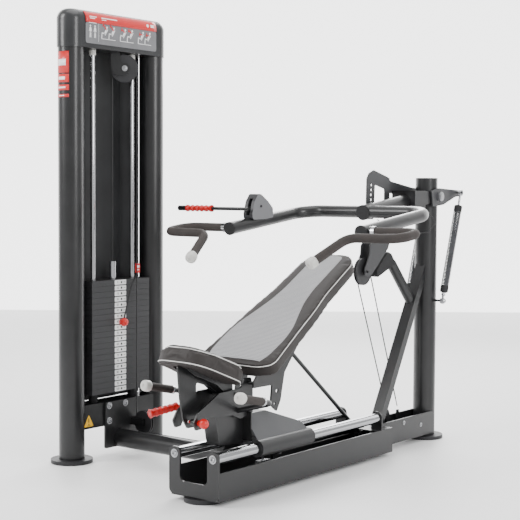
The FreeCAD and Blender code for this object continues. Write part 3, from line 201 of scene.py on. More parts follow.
def foam(name, colour):
    """Closed-cell foam: speckled skin whose open pores are darkened as painted shade, and a soft
    sheen.
    """
    made = Shader(name)
    cells = made.add("TexVoronoi", Vector=made.coord, Scale=520.0).outputs["Distance"]
    broad = made.noise(22, 5, 0.6)
    body = made.mix(made.span(broad, 0.3, 0.7), shade(colour, 0.78), shade(colour, 1.2))
    # painted shade: the colour darkens in the pits of the foam's pores
    made.wire(made.mix(made.span(cells, 0.0, 0.45), shade(colour, 0.5), body), "Base Color")
    made.wire(made.span(broad, 0.3, 0.7, 0.62, 0.8), "Roughness")
    made.bump(cells, 0.5, 0.0003)
    made.bump(broad, 0.35, 0.0012)
    made.set(Specular_IOR_Level=0.25)
    return made.material


def upholstery(name, colour):
    """Coated upholstery cloth: small pebble grain with painted shade in its pits, slow creases, worn
    lighter patches.
    """
    made = Shader(name)
    pebble = made.add("TexVoronoi", Vector=made.coord, Scale=640.0).outputs["Distance"]
    broad = made.noise(9, 5, 0.6)
    crease = made.noise(26, 4, 0.55, (1.0, 2.4, 1.0))
    body = made.mix(made.span(broad, 0.3, 0.7), shade(colour, 0.8), shade(colour, 1.25))
    # painted shade: the colour darkens in the pits of the pebble grain
    made.wire(made.mix(made.span(pebble, 0.0, 0.5), shade(colour, 0.62), body), "Base Color")
    made.wire(made.span(broad, 0.3, 0.7, 0.5, 0.64), "Roughness")
    made.bump(pebble, 0.45, 0.0002)
    made.bump(crease, 0.25, 0.0016)
    made.set(Specular_IOR_Level=0.3)
    return made.material


def spacer_mesh(name, colour, slope):
    """Spacer-mesh cloth: knitted holes set in raised ribs that run across the pad, with painted shade
    in the holes and between the ribs.
    """
    made = Shader(name)
    turned = made.add("Mapping", Vector=made.coord, Rotation=(0.0, slope, 0.0)).outputs["Vector"]
    parts = made.add("SeparateXYZ", Vector=turned)
    along, across = parts.outputs["X"], parts.outputs["Y"]

    def wave(value, period):
        return made.math("SINE", made.math("MULTIPLY", value, 2 * math.pi / period), 0.0)

    rib = wave(along, 0.0092)
    knit = made.math("MULTIPLY", wave(across, 0.0046), wave(along, 0.0046))
    broad = made.noise(7, 4)
    body = made.mix(made.span(broad, 0.3, 0.7), shade(colour, 0.93), shade(colour, 1.06))
    # painted shade: the colour darkens in the troughs between the ribs
    ribbed = made.mix(made.span(rib, -1.0, 0.2), shade(colour, 0.62), body)
    # painted shade: the colour darkens in the knitted holes
    woven = made.mix(made.span(knit, -1.0, -0.35, 0.75, 0.0), ribbed, shade(colour, 0.42))
    made.wire(woven, "Base Color")
    made.wire(made.span(rib, -1.0, 1.0, 0.85, 0.72), "Roughness")
    made.bump(rib, 0.6, 0.0008)
    made.bump(knit, 0.5, 0.0004)
    made.set(Sheen_Weight=0.1, Sheen_Roughness=0.5)
    return made.material


def printed(name, colour, rough=0.42):
    """Printed film or paint: a faint screen texture under a thin clear layer."""
    made = Shader(name)
    grain = made.noise(700, 2)
    broad = made.noise(18, 4)
    body = made.mix(made.span(broad, 0.3, 0.7), shade(colour, 0.9), shade(colour, 1.08))
    made.wire(body, "Base Color")
    made.wire(made.span(broad, 0.3, 0.7, rough - 0.06, rough + 0.06), "Roughness")
    made.bump(grain, 0.3, 0.00003)
    made.set(Coat_Weight=0.3, Coat_Roughness=0.2)
    return made.material


def two_tone(name, colour, other, rough, mask):
    """Paint of two colours, parted by where a point lies across and above the floor; the second
    colour is painted light, a highlight on lit faces and shade in the stack's gaps.
    """
    made = Shader(name)
    parts = made.add("SeparateXYZ", Vector=made.coord)
    across = made.math("ABSOLUTE", parts.outputs["Y"], 0.0)
    broad = made.noise(6, 4)
    first = made.mix(made.span(broad, 0.3, 0.7), shade(colour, 0.8), shade(colour, 1.2))
    made.wire(made.mix(mask(made, across, parts.outputs["Z"]), first, other), "Base Color")
    made.wire(made.span(broad, 0.3, 0.7, rough - 0.04, rough + 0.06), "Roughness")
    made.bump(made.noise(900, 2), 0.5, 0.00006)
    return made.material


def off_the_rails(made, across, height):
    """One away from the two sleeves, where the carriage gets its painted highlight, nought on them.
    """
    aside = made.math("SUBTRACT", across, RAIL_Y)
    above = made.math("SUBTRACT", height, RAIL_Z)
    square = made.math("ADD", made.math("MULTIPLY", aside, aside),
                       made.math("MULTIPLY", above, above))
    return made.math("GREATER_THAN", square, SLEEVE_RADIUS ** 2)


def plate_gaps(made, _, height):
    """One in the narrow gap above each plate of the stack, which is painted near black as shade,
    nought on its face.
    """
    step = made.math("MODULO", made.math("SUBTRACT", height, STACK_LOW), PITCH_Z)
    return made.math("GREATER_THAN", step, PLATE_FACE)


def housing_sides(made, across, _):
    """One on the lever housing's two flat sides, which get a painted highlight, nought on its rim."""
    offset = made.math("ABSOLUTE", made.math("SUBTRACT", across, 0.370), 0.0)
    return made.math("GREATER_THAN", offset, 0.0275)


BLACK = (0.008, 0.0081, 0.0088)
MAT = {
    "frame_black": painted("frame_black", BLACK, 0.36, coat=0.25),
    "foot_black": painted("foot_black", (0.018, 0.018, 0.02), 0.5, grain=500, depth=0.0001),
    # painted highlight: a lighter copy of the frame's black paint for the plates whose faces catch
    # the light
    "charcoal_lit": painted("charcoal_lit", (0.026, 0.0265, 0.029), 0.42, coat=0.15, mottle=0.15),
    # painted highlight: the carriage is a lighter grey away from its black sleeves, for the light on
    # its roof
    "carriage_lit_grey": two_tone("carriage_lit_grey", BLACK, (0.05, 0.051, 0.055), 0.4, off_the_rails),
    # painted highlight: the lever housing's flat sides are light grey for the light they catch
    "housing_lit_grey": two_tone("housing_lit_grey", (0.03, 0.03, 0.033), (0.16, 0.162, 0.17), 0.42,
                             housing_sides),
    "rubber": painted("rubber", (0.014, 0.014, 0.015), 0.72, grain=420, depth=0.00015, mottle=0.5),
    "chrome": metal("chrome", (0.52, 0.525, 0.54), 0.09, (1, 1, 0.02), 0.06),
    "rail_chrome": metal("rail_chrome", (0.46, 0.465, 0.48), 0.1, (0.02, 1, 1), 0.06),
    "steel": metal("steel", (0.45, 0.455, 0.47), 0.26, (1, 1, 1), 0.2),
    "spring_steel": metal("spring_steel", (0.13, 0.132, 0.14), 0.3, (1, 1, 1), 0.3),
    "header_black": painted("header_black", (0.016, 0.0165, 0.018), 0.34, grain=650,
                            depth=0.00008, coat=0.3),
    "cover_dark": painted("cover_dark", (0.013, 0.0135, 0.0145), 0.45),
    # painted shade: near black in the gap above each plate of the stack
    "stack_black": two_tone("stack_black", (0.019, 0.019, 0.021), (0.0008, 0.0008, 0.0009), 0.46,
                            plate_gaps),
    "cable_black": painted("cable_black", (0.014, 0.014, 0.015), 0.42, grain=1500),
    "pulley_black": painted("pulley_black", (0.022, 0.022, 0.024), 0.44, grain=700, mottle=0.3),
    "foam_brown": foam("foam_brown", (0.040, 0.034, 0.032)),
    "knob_white": painted("knob_white", (0.56, 0.55, 0.525), 0.32, grain=600, coat=0.3,
                          mottle=0.05),
    "grip_red": painted("grip_red", (0.58, 0.004, 0.002), 0.36, grain=600, coat=0.35, mottle=0.12),
    "vinyl": upholstery("vinyl", (0.026, 0.022, 0.021)),
    "piping": upholstery("piping", (0.72, 0.71, 0.69)),
    "back_mesh": spacer_mesh("back_mesh", (0.36, 0.36, 0.37), BACK_ANGLE),
    "seat_mesh": spacer_mesh("seat_mesh", (0.36, 0.36, 0.37), SEAT_ANGLE),
    "print_red": printed("print_red", (0.58, 0.003, 0.003)),
    "print_grey": printed("print_grey", (0.15, 0.152, 0.16)),
    "print_white": printed("print_white", (0.82, 0.82, 0.82)),
    "print_black": printed("print_black", (0.02, 0.02, 0.02)),
    "print_yellow": printed("print_yellow", (0.85, 0.47, 0.01)),
}

# every CAD node gets the procedural material of its slot, or the finish named here
SLOT_OF = {part["node"]: part["material_slot"] for part in frame["record"]["subparts"]}
FINISH = {"slide_rails": "rail_chrome", "lever_housing": "housing_lit_grey", "seat_fabric": "vinyl",
          "sector_plate": "charcoal_lit", "lever_plate": "charcoal_lit", "pulley_hanger": "charcoal_lit",
          "carriage": "carriage_lit_grey", "front_end_plate": "frame_black",
          "backrest_frame": "frame_black", "seat_frame": "frame_black"}
EDGE_ANGLE = math.radians(32)
for name, item in frame["nodes"].items():
    finish = FINISH.get(name, FINISH.get(SLOT_OF[name], SLOT_OF[name]))
    item.data.materials.clear()
    item.data.materials.append(MAT[finish])


# ---------------------------------------------------------------- mesh helpers
def add_piece(name, mesh, material, body, smooth=True, stands_for=()):
    mesh.name = name
    mesh.materials.clear()
    mesh.materials.append(MAT[material])
    mesh.shade_smooth() if smooth else mesh.shade_flat()
    if smooth:
        mesh.set_sharp_from_angle(angle=EDGE_ANGLE)
    item = bpy.data.objects.new(name, mesh)
    scene.collection.objects.link(item)
    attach(item, body)
    if stands_for:
        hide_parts(*stands_for)
    return item


def to_mesh(name, build):
    """A mesh made by a function that fills a bmesh."""
    work = bmesh.new()
    build(work)
    bmesh.ops.recalc_face_normals(work, faces=work.faces)
    mesh = bpy.data.meshes.new(name)
    work.to_mesh(mesh)
    work.free()
    return mesh


def basis(axis):
    """Two unit vectors square to an axis."""
    axis = axis.normalized()
    side = axis.cross(Z if abs(axis.z) < 0.9 else X).normalized()
    return side, axis.cross(side)


def lathe(work, profile, origin, axis, steps=32):
    """Turn a list of (radius, distance along the axis) about the axis; the ends close on it."""
    axis = axis.normalized()
    side, other = basis(axis)
    rings = []
    for radius, along in profile:
        centre = origin + axis * along
        if radius < 1e-6:
            rings.append([work.verts.new(centre)])
        else:
            turns = (2 * math.pi * k / steps for k in range(steps))
            rings.append([work.verts.new(
                centre + (side * math.cos(a) + other * math.sin(a)) * radius) for a in turns])
    for low, high in zip(rings, rings[1:]):
        for k in range(steps):
            nxt = (k + 1) % steps
            corners = [low[k % len(low)], low[nxt % len(low)],
                       high[nxt % len(high)], high[k % len(high)]]
            corners = list(dict.fromkeys(corners))
            if len(corners) > 2:
                work.faces.new(corners)


def smooth_line(points, steps=10):
    """A Catmull-Rom line through the points."""
    points = [Vector(p) for p in points]
    padded = [points[0] * 2 - points[1], *points, points[-1] * 2 - points[-2]]
    line = []
    for a, b, c, d in zip(padded, padded[1:], padded[2:], padded[3:]):
        for k in range(steps):
            t = k / steps
            line.append(0.5 * (2 * b + (c - a) * t + (2 * a - 5 * b + 4 * c - d) * t ** 2
                               + (3 * b - a - 3 * c + d) * t ** 3))
    return line + [points[-1]]


def pipe(work, line, radius, steps=12, closed=False):
    """Sweep a circle along a line; radius is a number or a function of the share of the length."""
    count = len(line)
    heading = [(line[(k + 1) % count] - line[k - 1] if closed or 0 < k < count - 1 else
                (line[1] - line[0] if k == 0 else line[-1] - line[-2])).normalized()
               for k in range(count)]
    side, _ = basis(heading[0])
    rings = []
    for k, point in enumerate(line):
        side = (side - heading[k] * side.dot(heading[k])).normalized()
        other = heading[k].cross(side)
        size = radius(k / (count - 1)) if callable(radius) else radius
        rings.append([work.verts.new(point + (side * math.cos(a) + other * math.sin(a)) * size)
                      for a in (2 * math.pi * j / steps for j in range(steps))])
    pairs = list(zip(rings, rings[1:])) + ([(rings[-1], rings[0])] if closed else [])
    for low, high in pairs:
        for j in range(steps):
            nxt = (j + 1) % steps
            work.faces.new((low[j], low[nxt], high[nxt], high[j]))
    if not closed:
        work.faces.new(rings[0])
        work.faces.new(list(reversed(rings[-1])))


def slab(work, outline, place, thickness, bevel=0.0):
    """Extrude a flat outline; place maps (u, v, height) to a point."""
    low = [work.verts.new(place(u, v, 0.0)) for u, v in outline]
    high = [work.verts.new(place(u, v, thickness)) for u, v in outline]
    top = work.faces.new(high)
    work.faces.new(list(reversed(low)))
    for k in range(len(outline)):
        nxt = (k + 1) % len(outline)
        work.faces.new((low[k], low[nxt], high[nxt], high[k]))
    if bevel:
        bmesh.ops.bevel(work, geom=list(top.edges), offset=bevel, segments=2, affect="EDGES")


def rounded(outline, radius, steps=6):
    """Round the corners of a flat outline."""
    result = []
    count = len(outline)
    for k in range(count):
        point = Vector(outline[k])
        before, after = Vector(outline[k - 1]) - point, Vector(outline[(k + 1) % count]) - point
        reach = min(radius, before.length * 0.45, after.length * 0.45)
        start, end = point + before.normalized() * reach, point + after.normalized() * reach
        for j in range(steps + 1):
            t = j / steps
            result.append(tuple(start * (1 - t) ** 2 + point * 2 * t * (1 - t) + end * t ** 2))
    return result


def box_outline(width, height, at=(0, 0)):
    return [(at[0] + sx * width / 2, at[1] + sy * height / 2)
            for sx, sy in ((-1, -1), (1, -1), (1, 1), (-1, 1))]


def disc_outline(radius, at=(0, 0), steps=20):
    return [(at[0] + radius * math.cos(2 * math.pi * k / steps),
             at[1] + radius * math.sin(2 * math.pi * k / steps)) for k in range(steps)]


def capsule(start, end, radius, steps=6):
    """A flat bar with round ends."""
    start, end = Vector(start), Vector(end)
    turn = math.atan2(end.y - start.y, end.x - start.x)
    arcs = [(end, turn - math.pi / 2), (start, turn + math.pi / 2)]
    return [tuple(centre + Vector((math.cos(first + math.pi * k / steps),
                                   math.sin(first + math.pi * k / steps))) * radius)
            for centre, first in arcs for k in range(steps + 1)]


# ---------------------------------------------------------------- bolts
def bolt(work, centre, axis, radius=0.0095):
    """A washer with a domed hexagon-socket head on it."""
    lathe(work, [(0, 0), (radius * 1.45, 0), (radius * 1.5, 0.0008), (radius * 1.45, 0.0016),
                 (0, 0.0016)], centre, axis, 24)
    top = radius * 0.62
    lathe(work, [(0, 0.0015), (radius, 0.0015), (radius, top * 0.45), (radius * 0.86, top * 0.85),
                 (radius * 0.56, top)], centre, axis, 24)
    side, other = basis(axis)
    ring = [centre + axis * top + (side * math.cos(a) + other * math.sin(a)) * radius * 0.56
            for a in (2 * math.pi * k / 24 for k in range(24))]
    hexagon = [centre + axis * top + (side * math.cos(a) + other * math.sin(a)) * radius * 0.48
               for a in (math.pi / 3 * k for k in range(6))]
    outer = [work.verts.new(p) for p in ring]
    inner = [work.verts.new(p) for p in hexagon]
    floor = [work.verts.new(p - axis * radius * 0.45) for p in hexagon]
    for k in range(6):
        nxt = (k + 1) % 6
        for j in range(4):
            work.faces.new((outer[4 * k + j], outer[(4 * k + j + 1) % 24], inner[k]))
        work.faces.new((outer[(4 * k + 4) % 24], inner[nxt], inner[k]))
        work.faces.new((inner[k], inner[nxt], floor[nxt], floor[k]))
    work.faces.new(floor)
    bmesh.ops.remove_doubles(work, verts=work.verts, dist=1e-6)


def bolts(name, body, places, stands_for=()):
    """places: (centre in metres, direction the head faces, radius)."""
    def build(work):
        for centre, axis, radius in places:
            part = bmesh.new()
            bolt(part, Vector(centre), Vector(axis), radius)
            mesh = bpy.data.meshes.new("bolt")
            part.to_mesh(mesh)
            part.free()
            work.from_mesh(mesh)
            bpy.data.meshes.remove(mesh)
    return add_piece(name, to_mesh(name, build), "steel", body, stands_for=stands_for)


M8, M10, M12 = 0.0075, 0.0095, 0.0115
TOP_AXIS = Vector((0.6901, 0.7237, 0))
bolts("frame_bolt_heads", "frame", [
    ((-1.860, -0.105, 0.198), -X, 0.0125), ((-1.860, 0.105, 0.198), -X, 0.0125),
    ((-1.423, 0.920, 0.252), -Y, M12), ((-1.312, 0.920, 0.252), -Y, M12),
    ((-1.423, 0.920, 0.178), -Y, M12),
    ((-1.3132, 0.9231, 1.89), -TOP_AXIS, M10),
    ((-0.297, -0.060, 0.1235), -Y, M8), ((-0.13, -0.060, 0.09), -Y, M8),
], stands_for=("frame_bolts",))


# ---------------------------------------------------------------- cushions
class Pad:
    """Maps (distance up the slope, across, height above the pad's back face) to a point."""

    def __init__(self, start, angle, thick):
        self.start, self.thick = Vector(start), thick
        self.slope = Vector((math.cos(angle), 0, math.sin(angle)))
        self.normal = Vector((-math.sin(angle), 0, math.cos(angle)))

    def __call__(self, d, y, h):
        return self.start + self.slope * d + Y * y + self.normal * (h - self.thick)


CLOTH_FRAMES = 20


def cushion(name, outline, place, body, node, crown, cap, cell):
    """A stuffed pad: a rounded slab pressed outward as cloth, then flattened where it rests."""
    inset = 0.007
    centre = sum((Vector(p) for p in outline), Vector((0, 0))) / len(outline)
    shrunk = [tuple(Vector(p) + (centre - Vector(p)).normalized() * inset) for p in outline]
    mesh = to_mesh(name, lambda work: slab(work, shrunk, lambda u, v, h: place(u, v, 0.002 + h),
                                          place.thick - 0.009, 0.014))
    item = bpy.data.objects.new(name, mesh)
    scene.collection.objects.link(item)
    bpy.context.view_layer.objects.active = item
    remesh = item.modifiers.new("remesh", "REMESH")
    remesh.mode = "VOXEL"
    remesh.voxel_size = cell
    apply_all(item)
    rest = [v.co.copy() for v in item.data.vertices]
    cloth = item.modifiers.new("cloth", "CLOTH")
    cloth.settings.use_pressure = True
    cloth.settings.uniform_pressure_force = 4
    cloth.settings.tension_stiffness = 15
    cloth.settings.compression_stiffness = 15
    cloth.settings.bending_stiffness = 0.5
    cloth.settings.effector_weights.gravity = 0
    cloth.collision_settings.use_collision = False
    for step in range(1, CLOTH_FRAMES + 1):
        scene.frame_set(step)
    apply_all(item)
    scene.frame_set(1)
    slope, normal, base = place.slope, place.normal, place(0, 0, 0)
    for vertex, start in zip(item.data.vertices, rest):
        move = vertex.co - start
        if move.length > cap:
            move *= cap / move.length
        point = start + move
        d, h = (point - base).dot(slope), (point - base).dot(normal)
        # crown the face, most along its middle and not at all at its sides
        half = half_width(outline, d)
        edge = max(0.0, 1 - (point.y / half) ** 2) if half > 0 else 0.0
        point += normal * (crown * edge * max(0.0, 2 * h / place.thick - 1))
        h = (point - base).dot(normal)
        if h < 0:
            point -= normal * h
        vertex.co = point
    subdivide = item.modifiers.new("subdivide", "SUBSURF")
    subdivide.levels = subdivide.render_levels = 1
    apply_all(item)
    item.data.materials.clear()
    item.data.materials.append(MAT["vinyl"])
    item.data.shade_smooth()
    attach(item, body)
    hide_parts(node)
    return item


def apply_all(item):
    """Replace an object's mesh with its evaluated one and drop the modifiers."""
    evaluated = item.evaluated_get(bpy.context.evaluated_depsgraph_get())
    mesh = bpy.data.meshes.new_from_object(evaluated)
    item.modifiers.clear()
    item.data = mesh


def half_width(outline, d):
    """Half the width of an outline at a distance along it."""
    best = 0.0
    for (d0, y0), (d1, y1) in zip(outline, outline[1:] + outline[:1]):
        if min(d0, d1) <= d <= max(d0, d1) and abs(d1 - d0) > 1e-9:
            best = max(best, y0 + (y1 - y0) * (d - d0) / (d1 - d0))
    return best


def surface_of(item):
    return BVHTree.FromObject(item, bpy.context.evaluated_depsgraph_get())


def inlay(name, tree, outline, place, material, body, count=(150, 60)):
    """A sewn-in panel: a grid laid on the cushion's face inside an outline, tucked in at its edge."""
    low = min(p[0] for p in outline)
    high = max(p[0] for p in outline)
    reach = high - low
    normal = place.normal

    def build(work):
        rows = []
        for i in range(count[0] + 1):
            share = 0.5 - 0.5 * math.cos(math.pi * i / count[0])
            d = low + reach * share * 0.98 + reach * 0.01
            half = half_width(outline, d)
            row = []
            for j in range(count[1] + 1):
                s = -math.cos(math.pi * j / count[1])
                start = place(d, half * s, place.thick + 0.08)
                hit = tree.ray_cast(start, -normal)[0]
                if hit is None:
                    hit = place(d, half * s, place.thick)
                rim = min(1.0, (1 - abs(s)) * half / 0.006, (d - low) / 0.006, (high - d) / 0.006)
                raised = 0.0022 * math.sqrt(max(0.0, rim)) - 0.0008
                row.append(work.verts.new(hit + normal * raised))
            rows.append(row)
        for a, b in zip(rows, rows[1:]):
            for k in range(count[1]):
                work.faces.new((a[k], a[k + 1], b[k + 1], b[k]))
    piece = add_piece(name, to_mesh(name, build), material, body)
    solid = piece.modifiers.new("thick", "SOLIDIFY")
    solid.thickness = 0.0012
    solid.offset = -1
    return piece


def rim_line(tree, outline, place, height, lift=0.0):
    """Points where a level line round the pad meets its side."""
    centre = sum((Vector(p) for p in outline), Vector((0, 0))) / len(outline)
    line = []
    count = len(outline)
    for k in range(count):
        point = Vector(outline[k])
        along = Vector(outline[(k + 1) % count]) - Vector(outline[k - 1])
        if along.length < 1e-6:
            continue
        outward = Vector((along.y, -along.x)).normalized()
        if outward.dot(point - centre) < 0:
            outward = -outward
        start = point + outward * 0.05
        a, b = place(start.x, start.y, height), place(point.x, point.y, height)
        hit = tree.ray_cast(a, (b - a).normalized(), 0.12)[0]
        if hit is None:
            continue
        line.append(hit + (a - b).normalized() * lift)
    return line


def even(line, gap):
    """A closed line again, with points about a gap apart."""
    result = [line[0]]
    for point in line[1:]:
        if (point - result[-1]).length >= gap:
            result.append(point)
    if (result[-1] - result[0]).length < gap * 0.6:
        result.pop()
    return result


def dense(outline, gap=0.012):
    """The outline again with its straight sides divided."""
    result = []
    for k in range(len(outline)):
        a, b = Vector(outline[k]), Vector(outline[(k + 1) % len(outline)])
        parts = max(1, int((b - a).length / gap))
        result += [tuple(a.lerp(b, j / parts)) for j in range(parts)]
    return result


def mirrored_outline(half):
    return [(d, -y) for d, y in half] + [(d, y) for d, y in reversed(half)]


back_place = Pad((-1.300, 0, 0.751), BACK_ANGLE, 0.068)
seat_place = Pad((-1.960, 0, 0.675), SEAT_ANGLE, 0.080)
BACK_OUTLINE = dense(rounded(mirrored_outline([
    (-0.375, 0.150), (-0.345, 0.213), (-0.100, 0.191), (0.070, 0.180), (0.200, 0.157),
    (0.460, 0.147), (0.520, 0.100)]), 0.07, 8))
SEAT_OUTLINE = dense(rounded([(0, -0.140), (0.325, -0.170), (0.325, 0.170), (0, 0.140)], 0.105, 8))
backrest = cushion("backrest_cushion", BACK_OUTLINE, back_place, "backrest", "backrest_pad",
                   0.006, 0.005, 0.0065)
seat = cushion("seat_cushion", SEAT_OUTLINE, seat_place, "seat", "seat_pad",
               0.008, 0.004, 0.0055)
back_tree, seat_tree = surface_of(backrest), surface_of(seat)
BACK_MESH = rounded(mirrored_outline([
    (-0.350, 0.140), (-0.300, 0.160), (-0.180, 0.165), (-0.090, 0.155), (0.000, 0.125),
    (0.100, 0.095), (0.200, 0.082), (0.490, 0.080)]), 0.04, 8)
SEAT_MESH = rounded([(0.075, -0.090), (0.310, -0.115), (0.310, 0.115), (0.075, 0.090)], 0.05, 8)
inlay("backrest_mesh_panel", back_tree, BACK_MESH, back_place, "back_mesh", "backrest")
inlay("seat_mesh_panel", seat_tree, SEAT_MESH, seat_place, "seat_mesh", "seat", (70, 60))


def piping(name, tree, outline, place, height, body, radius=0.0021):
    line = even(rim_line(tree, outline, place, height, 0.0006), 0.008)
    piece = add_piece(name, to_mesh(name, lambda work: pipe(work, line, radius, 10, True)),
                      "piping", body)


piping("backrest_piping", back_tree, BACK_OUTLINE, back_place, 0.052, "backrest")
piping("seat_upper_piping", seat_tree, SEAT_OUTLINE, seat_place, 0.070, "seat")
piping("seat_lower_piping", seat_tree, SEAT_OUTLINE, seat_place, 0.010, "seat")


# ---------------------------------------------------------------- grips, knobs and levers
def ribbed_grip(name, start, end, body, node, ridges, radius):
    """A moulded grip with finger ridges and a flange at each end."""
    axis = end - start
    length = axis.length
    profile = [(0.0086, 0), (radius + 0.001, 0), (radius + 0.0022, 0.002), (radius + 0.001, 0.006)]
    steps = ridges * 8
    for k in range(steps + 1):
        share = k / steps
        wave = math.cos(2 * math.pi * ridges * share)
        profile.append((radius - 0.0008 + 0.0021 * wave, 0.008 + (length - 0.016) * share))
    profile += [(radius + 0.0012, length - 0.006), (radius + 0.0022, length - 0.002),
                (radius, length), (0.0086, length)]
    return add_piece(name, to_mesh(name, lambda work: lathe(work, profile, start, axis, 36)),
                     "grip_red", body, stands_for=node)


release_row = Vector((-1.062, 0, 1.212))
ribbed_grip("release_ribbed_grip", release_row + Y * 0.575, release_row + Y * 0.738, "release",
            ("release_grip",), 5, 0.0155)
ribbed_grip("bench_lever_grip", Vector((-1.770, 0.171, 0.377)), Vector((-1.900, 0.210, 0.357)),
            "brake_lever", (), 5, 0.0168)


def knob(name, start, axis, radius, length, body):
    """A moulded end knob: round rims, a groove near its foot and a recessed plug in its face."""
    profile = [(0.0, length - 0.003), (radius * 0.24, length - 0.003), (radius * 0.26, length)]
    rim = [(0.009, 0.0), (0.0045, 0.0012), (0.0012, 0.0045), (0.0, 0.009)]
    profile += [(radius - inward, length - drop) for inward, drop in rim]
    profile += [(radius, 0.0135), (radius - 0.0012, 0.013), (radius - 0.0012, 0.0115),
                (radius, 0.011)]
    profile += [(radius - inward, drop) for inward, drop in reversed(rim)] + [(0.0, 0.0)]
    return add_piece(name, to_mesh(name, lambda work: lathe(work, profile, start, axis, 40)),
                     "knob_white", body)


def collar(name, start, axis, radius, length, body, hole):
    """A plated ring with soft rims."""
    profile = [(hole, 0.0), (radius - 0.001, 0.0), (radius, 0.001), (radius, length - 0.001),
               (radius - 0.001, length), (hole, length)]
    add_piece(name, to_mesh(name, lambda work: lathe(work, profile, start, axis, 36)),
              "chrome", body)


for side in SIDES:
    label = "far" if side > 0 else "near"
    tip = Vector((-1.489, side * 0.335, 1.002))
    toward = (tip - Vector((-1.317, side * 0.396, 1.101))).normalized()
    knob(f"press_knob_{label}", tip - toward * 0.014, toward, 0.026, 0.038, "press_arm")
    collar(f"press_collar_{label}", Vector((-1.150, side * 0.411, 1.1245)), Y * side,
           0.0238, 0.0185, "press_arm", 0.0228)
    tip = Vector((-1.866, side * 0.257, 0.468))
    toward = (tip - Vector((-1.640, side * 0.245, 0.418))).normalized()
    knob(f"bench_knob_{label}", tip - toward * 0.015, toward, 0.024, 0.036, "bench")
    collar(f"bench_collar_{label}", tip - toward * 0.1505, -toward, 0.0185, 0.012, "bench", 0.0112)
for node, piece in (("grip_knobs", "press_knob_near"), ("low_knobs", "bench_knob_near")):
    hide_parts(node)


def build_pull_knob(work):
    centre = Vector((-1.895, -0.086, 0.349))
    lathe(work, [(0.0, 0.021), (0.009, 0.0192), (0.016, 0.0138), (0.0206, 0.004),
                 (0.0208, -0.003), (0.017, -0.012), (0.012, -0.0165), (0.0115, -0.020),
                 (0.0122, -0.022), (0.0122, -0.029), (0.0105, -0.030), (0.006, -0.030)],
          centre, -Y, 36)


add_piece("pull_pin_knob", to_mesh("pull_pin_knob", build_pull_knob), "grip_red",
          "pull_pin")
add_piece("pull_pin_collar", to_mesh("pull_pin_collar", lambda work: lathe(
    work, [(0.0062, 0), (0.0095, 0), (0.0098, 0.001), (0.0098, 0.011), (0.009, 0.012),
           (0.0062, 0.012)],
    Vector((-1.895, -0.0545, 0.349)), -Y, 30)), "chrome", "bench")


# ---------------------------------------------------------------- extension springs
SPRING_FOOT, SPRING_HEAD = Vector((0, 0, 0.730)), Vector((0.180, 0, 1.295))
heading = (SPRING_HEAD - SPRING_FOOT).normalized()
span = (SPRING_HEAD - SPRING_FOOT).length
COIL_LOW, COIL_HIGH = 0.072, span - 0.096
TURNS, WIRE, COIL_RADIUS = 56, 0.0026, 0.0187
for side in SIDES:
    label = "far" if side > 0 else "near"
    foot = SPRING_FOOT + Y * side * 0.103
    flat_side, flat_other = basis(heading)

    def build_coil(work):
        line = []
        for k in range(TURNS * 14 + 1):
            share = k / (TURNS * 14)
            a = 2 * math.pi * TURNS * share
            line.append(foot + heading * (COIL_LOW + (COIL_HIGH - COIL_LOW) * share)
                        + (flat_side * math.cos(a) + flat_other * math.sin(a)) * COIL_RADIUS)
        pipe(work, line, WIRE, 7)
    coil = add_piece(f"spring_coil_{label}", to_mesh("coil", build_coil), "spring_steel",
                     "spring_lower")
    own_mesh(coil)
    if side < 0:
        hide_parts("spring_coils")

    def build_cap(work, low, high):
        lathe(work, [(0.0, low), (0.014, low), (0.0190, low + 0.004), (0.0213, low + 0.007),
                     (0.0213, high - 0.007), (0.0190, high - 0.003), (0.0, high)],
              foot, heading, 36)
    add_piece(f"spring_foot_cap_{label}",
              to_mesh("cap", lambda work: build_cap(work, 0.045, COIL_LOW + 0.012)),
              "rubber", "spring_lower")
    add_piece(f"spring_head_cap_{label}",
              to_mesh("cap", lambda work: build_cap(work, COIL_HIGH - 0.012, COIL_HIGH + 0.026)),
              "rubber", "spring_upper")

    def build_rod_end(work):
        lathe(work, [(0.0, -0.0080), (0.0145, -0.0080), (0.0160, -0.006), (0.0160, 0.006),
                     (0.0145, 0.0080), (0.0, 0.0080)], foot, Y, 36)
        lathe(work, [(0.0, 0.010), (0.0062, 0.010), (0.0062, 0.028), (0.0105, 0.029),
                     (0.0105, 0.038), (0.0062, 0.039), (0.0062, 0.048), (0.0, 0.048)],
              foot, heading, 24)
        lathe(work, [(0.0, 0.0080), (0.0125, 0.0082), (0.0118, 0.014), (0.0075, 0.018),
                     (0.0, 0.0185)], foot, Y * side, 30)
    add_piece(f"spring_rod_end_{label}", to_mesh("rod_end", build_rod_end), "steel",
              "spring_lower")


# ---------------------------------------------------------------- cables
def build_wrap(work):
    centre = Vector((-0.538, 0.042, 0.902))
    first, last = math.radians(22.6), math.radians(200.9)
    line = [centre + Vector((math.cos(a), 0, math.sin(a))) * 0.0625
            for a in (first + (last - first) * k / 40 for k in range(41))]
    pipe(work, line, 0.0029, 10)


add_piece("arm_pulley_cable", to_mesh("wrap", build_wrap), "cable_black", "lift_lever")

# on the machine this cable shortens as the stack goes up; here it is one fixed straight run
riser_low, riser_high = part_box("riser_cable")
riser_x, riser_y = (riser_low.x + riser_high.x) / 2, (riser_low.y + riser_high.y) / 2
riser_line = [Vector((riser_x, riser_y, z)) for z in (riser_low.z, riser_high.z)]
riser = add_piece("riser_cable_run",
                  to_mesh("riser", lambda work: pipe(work, riser_line, 0.003, 14)),
                  "cable_black", "frame", stands_for=("riser_cable",))
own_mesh(riser)


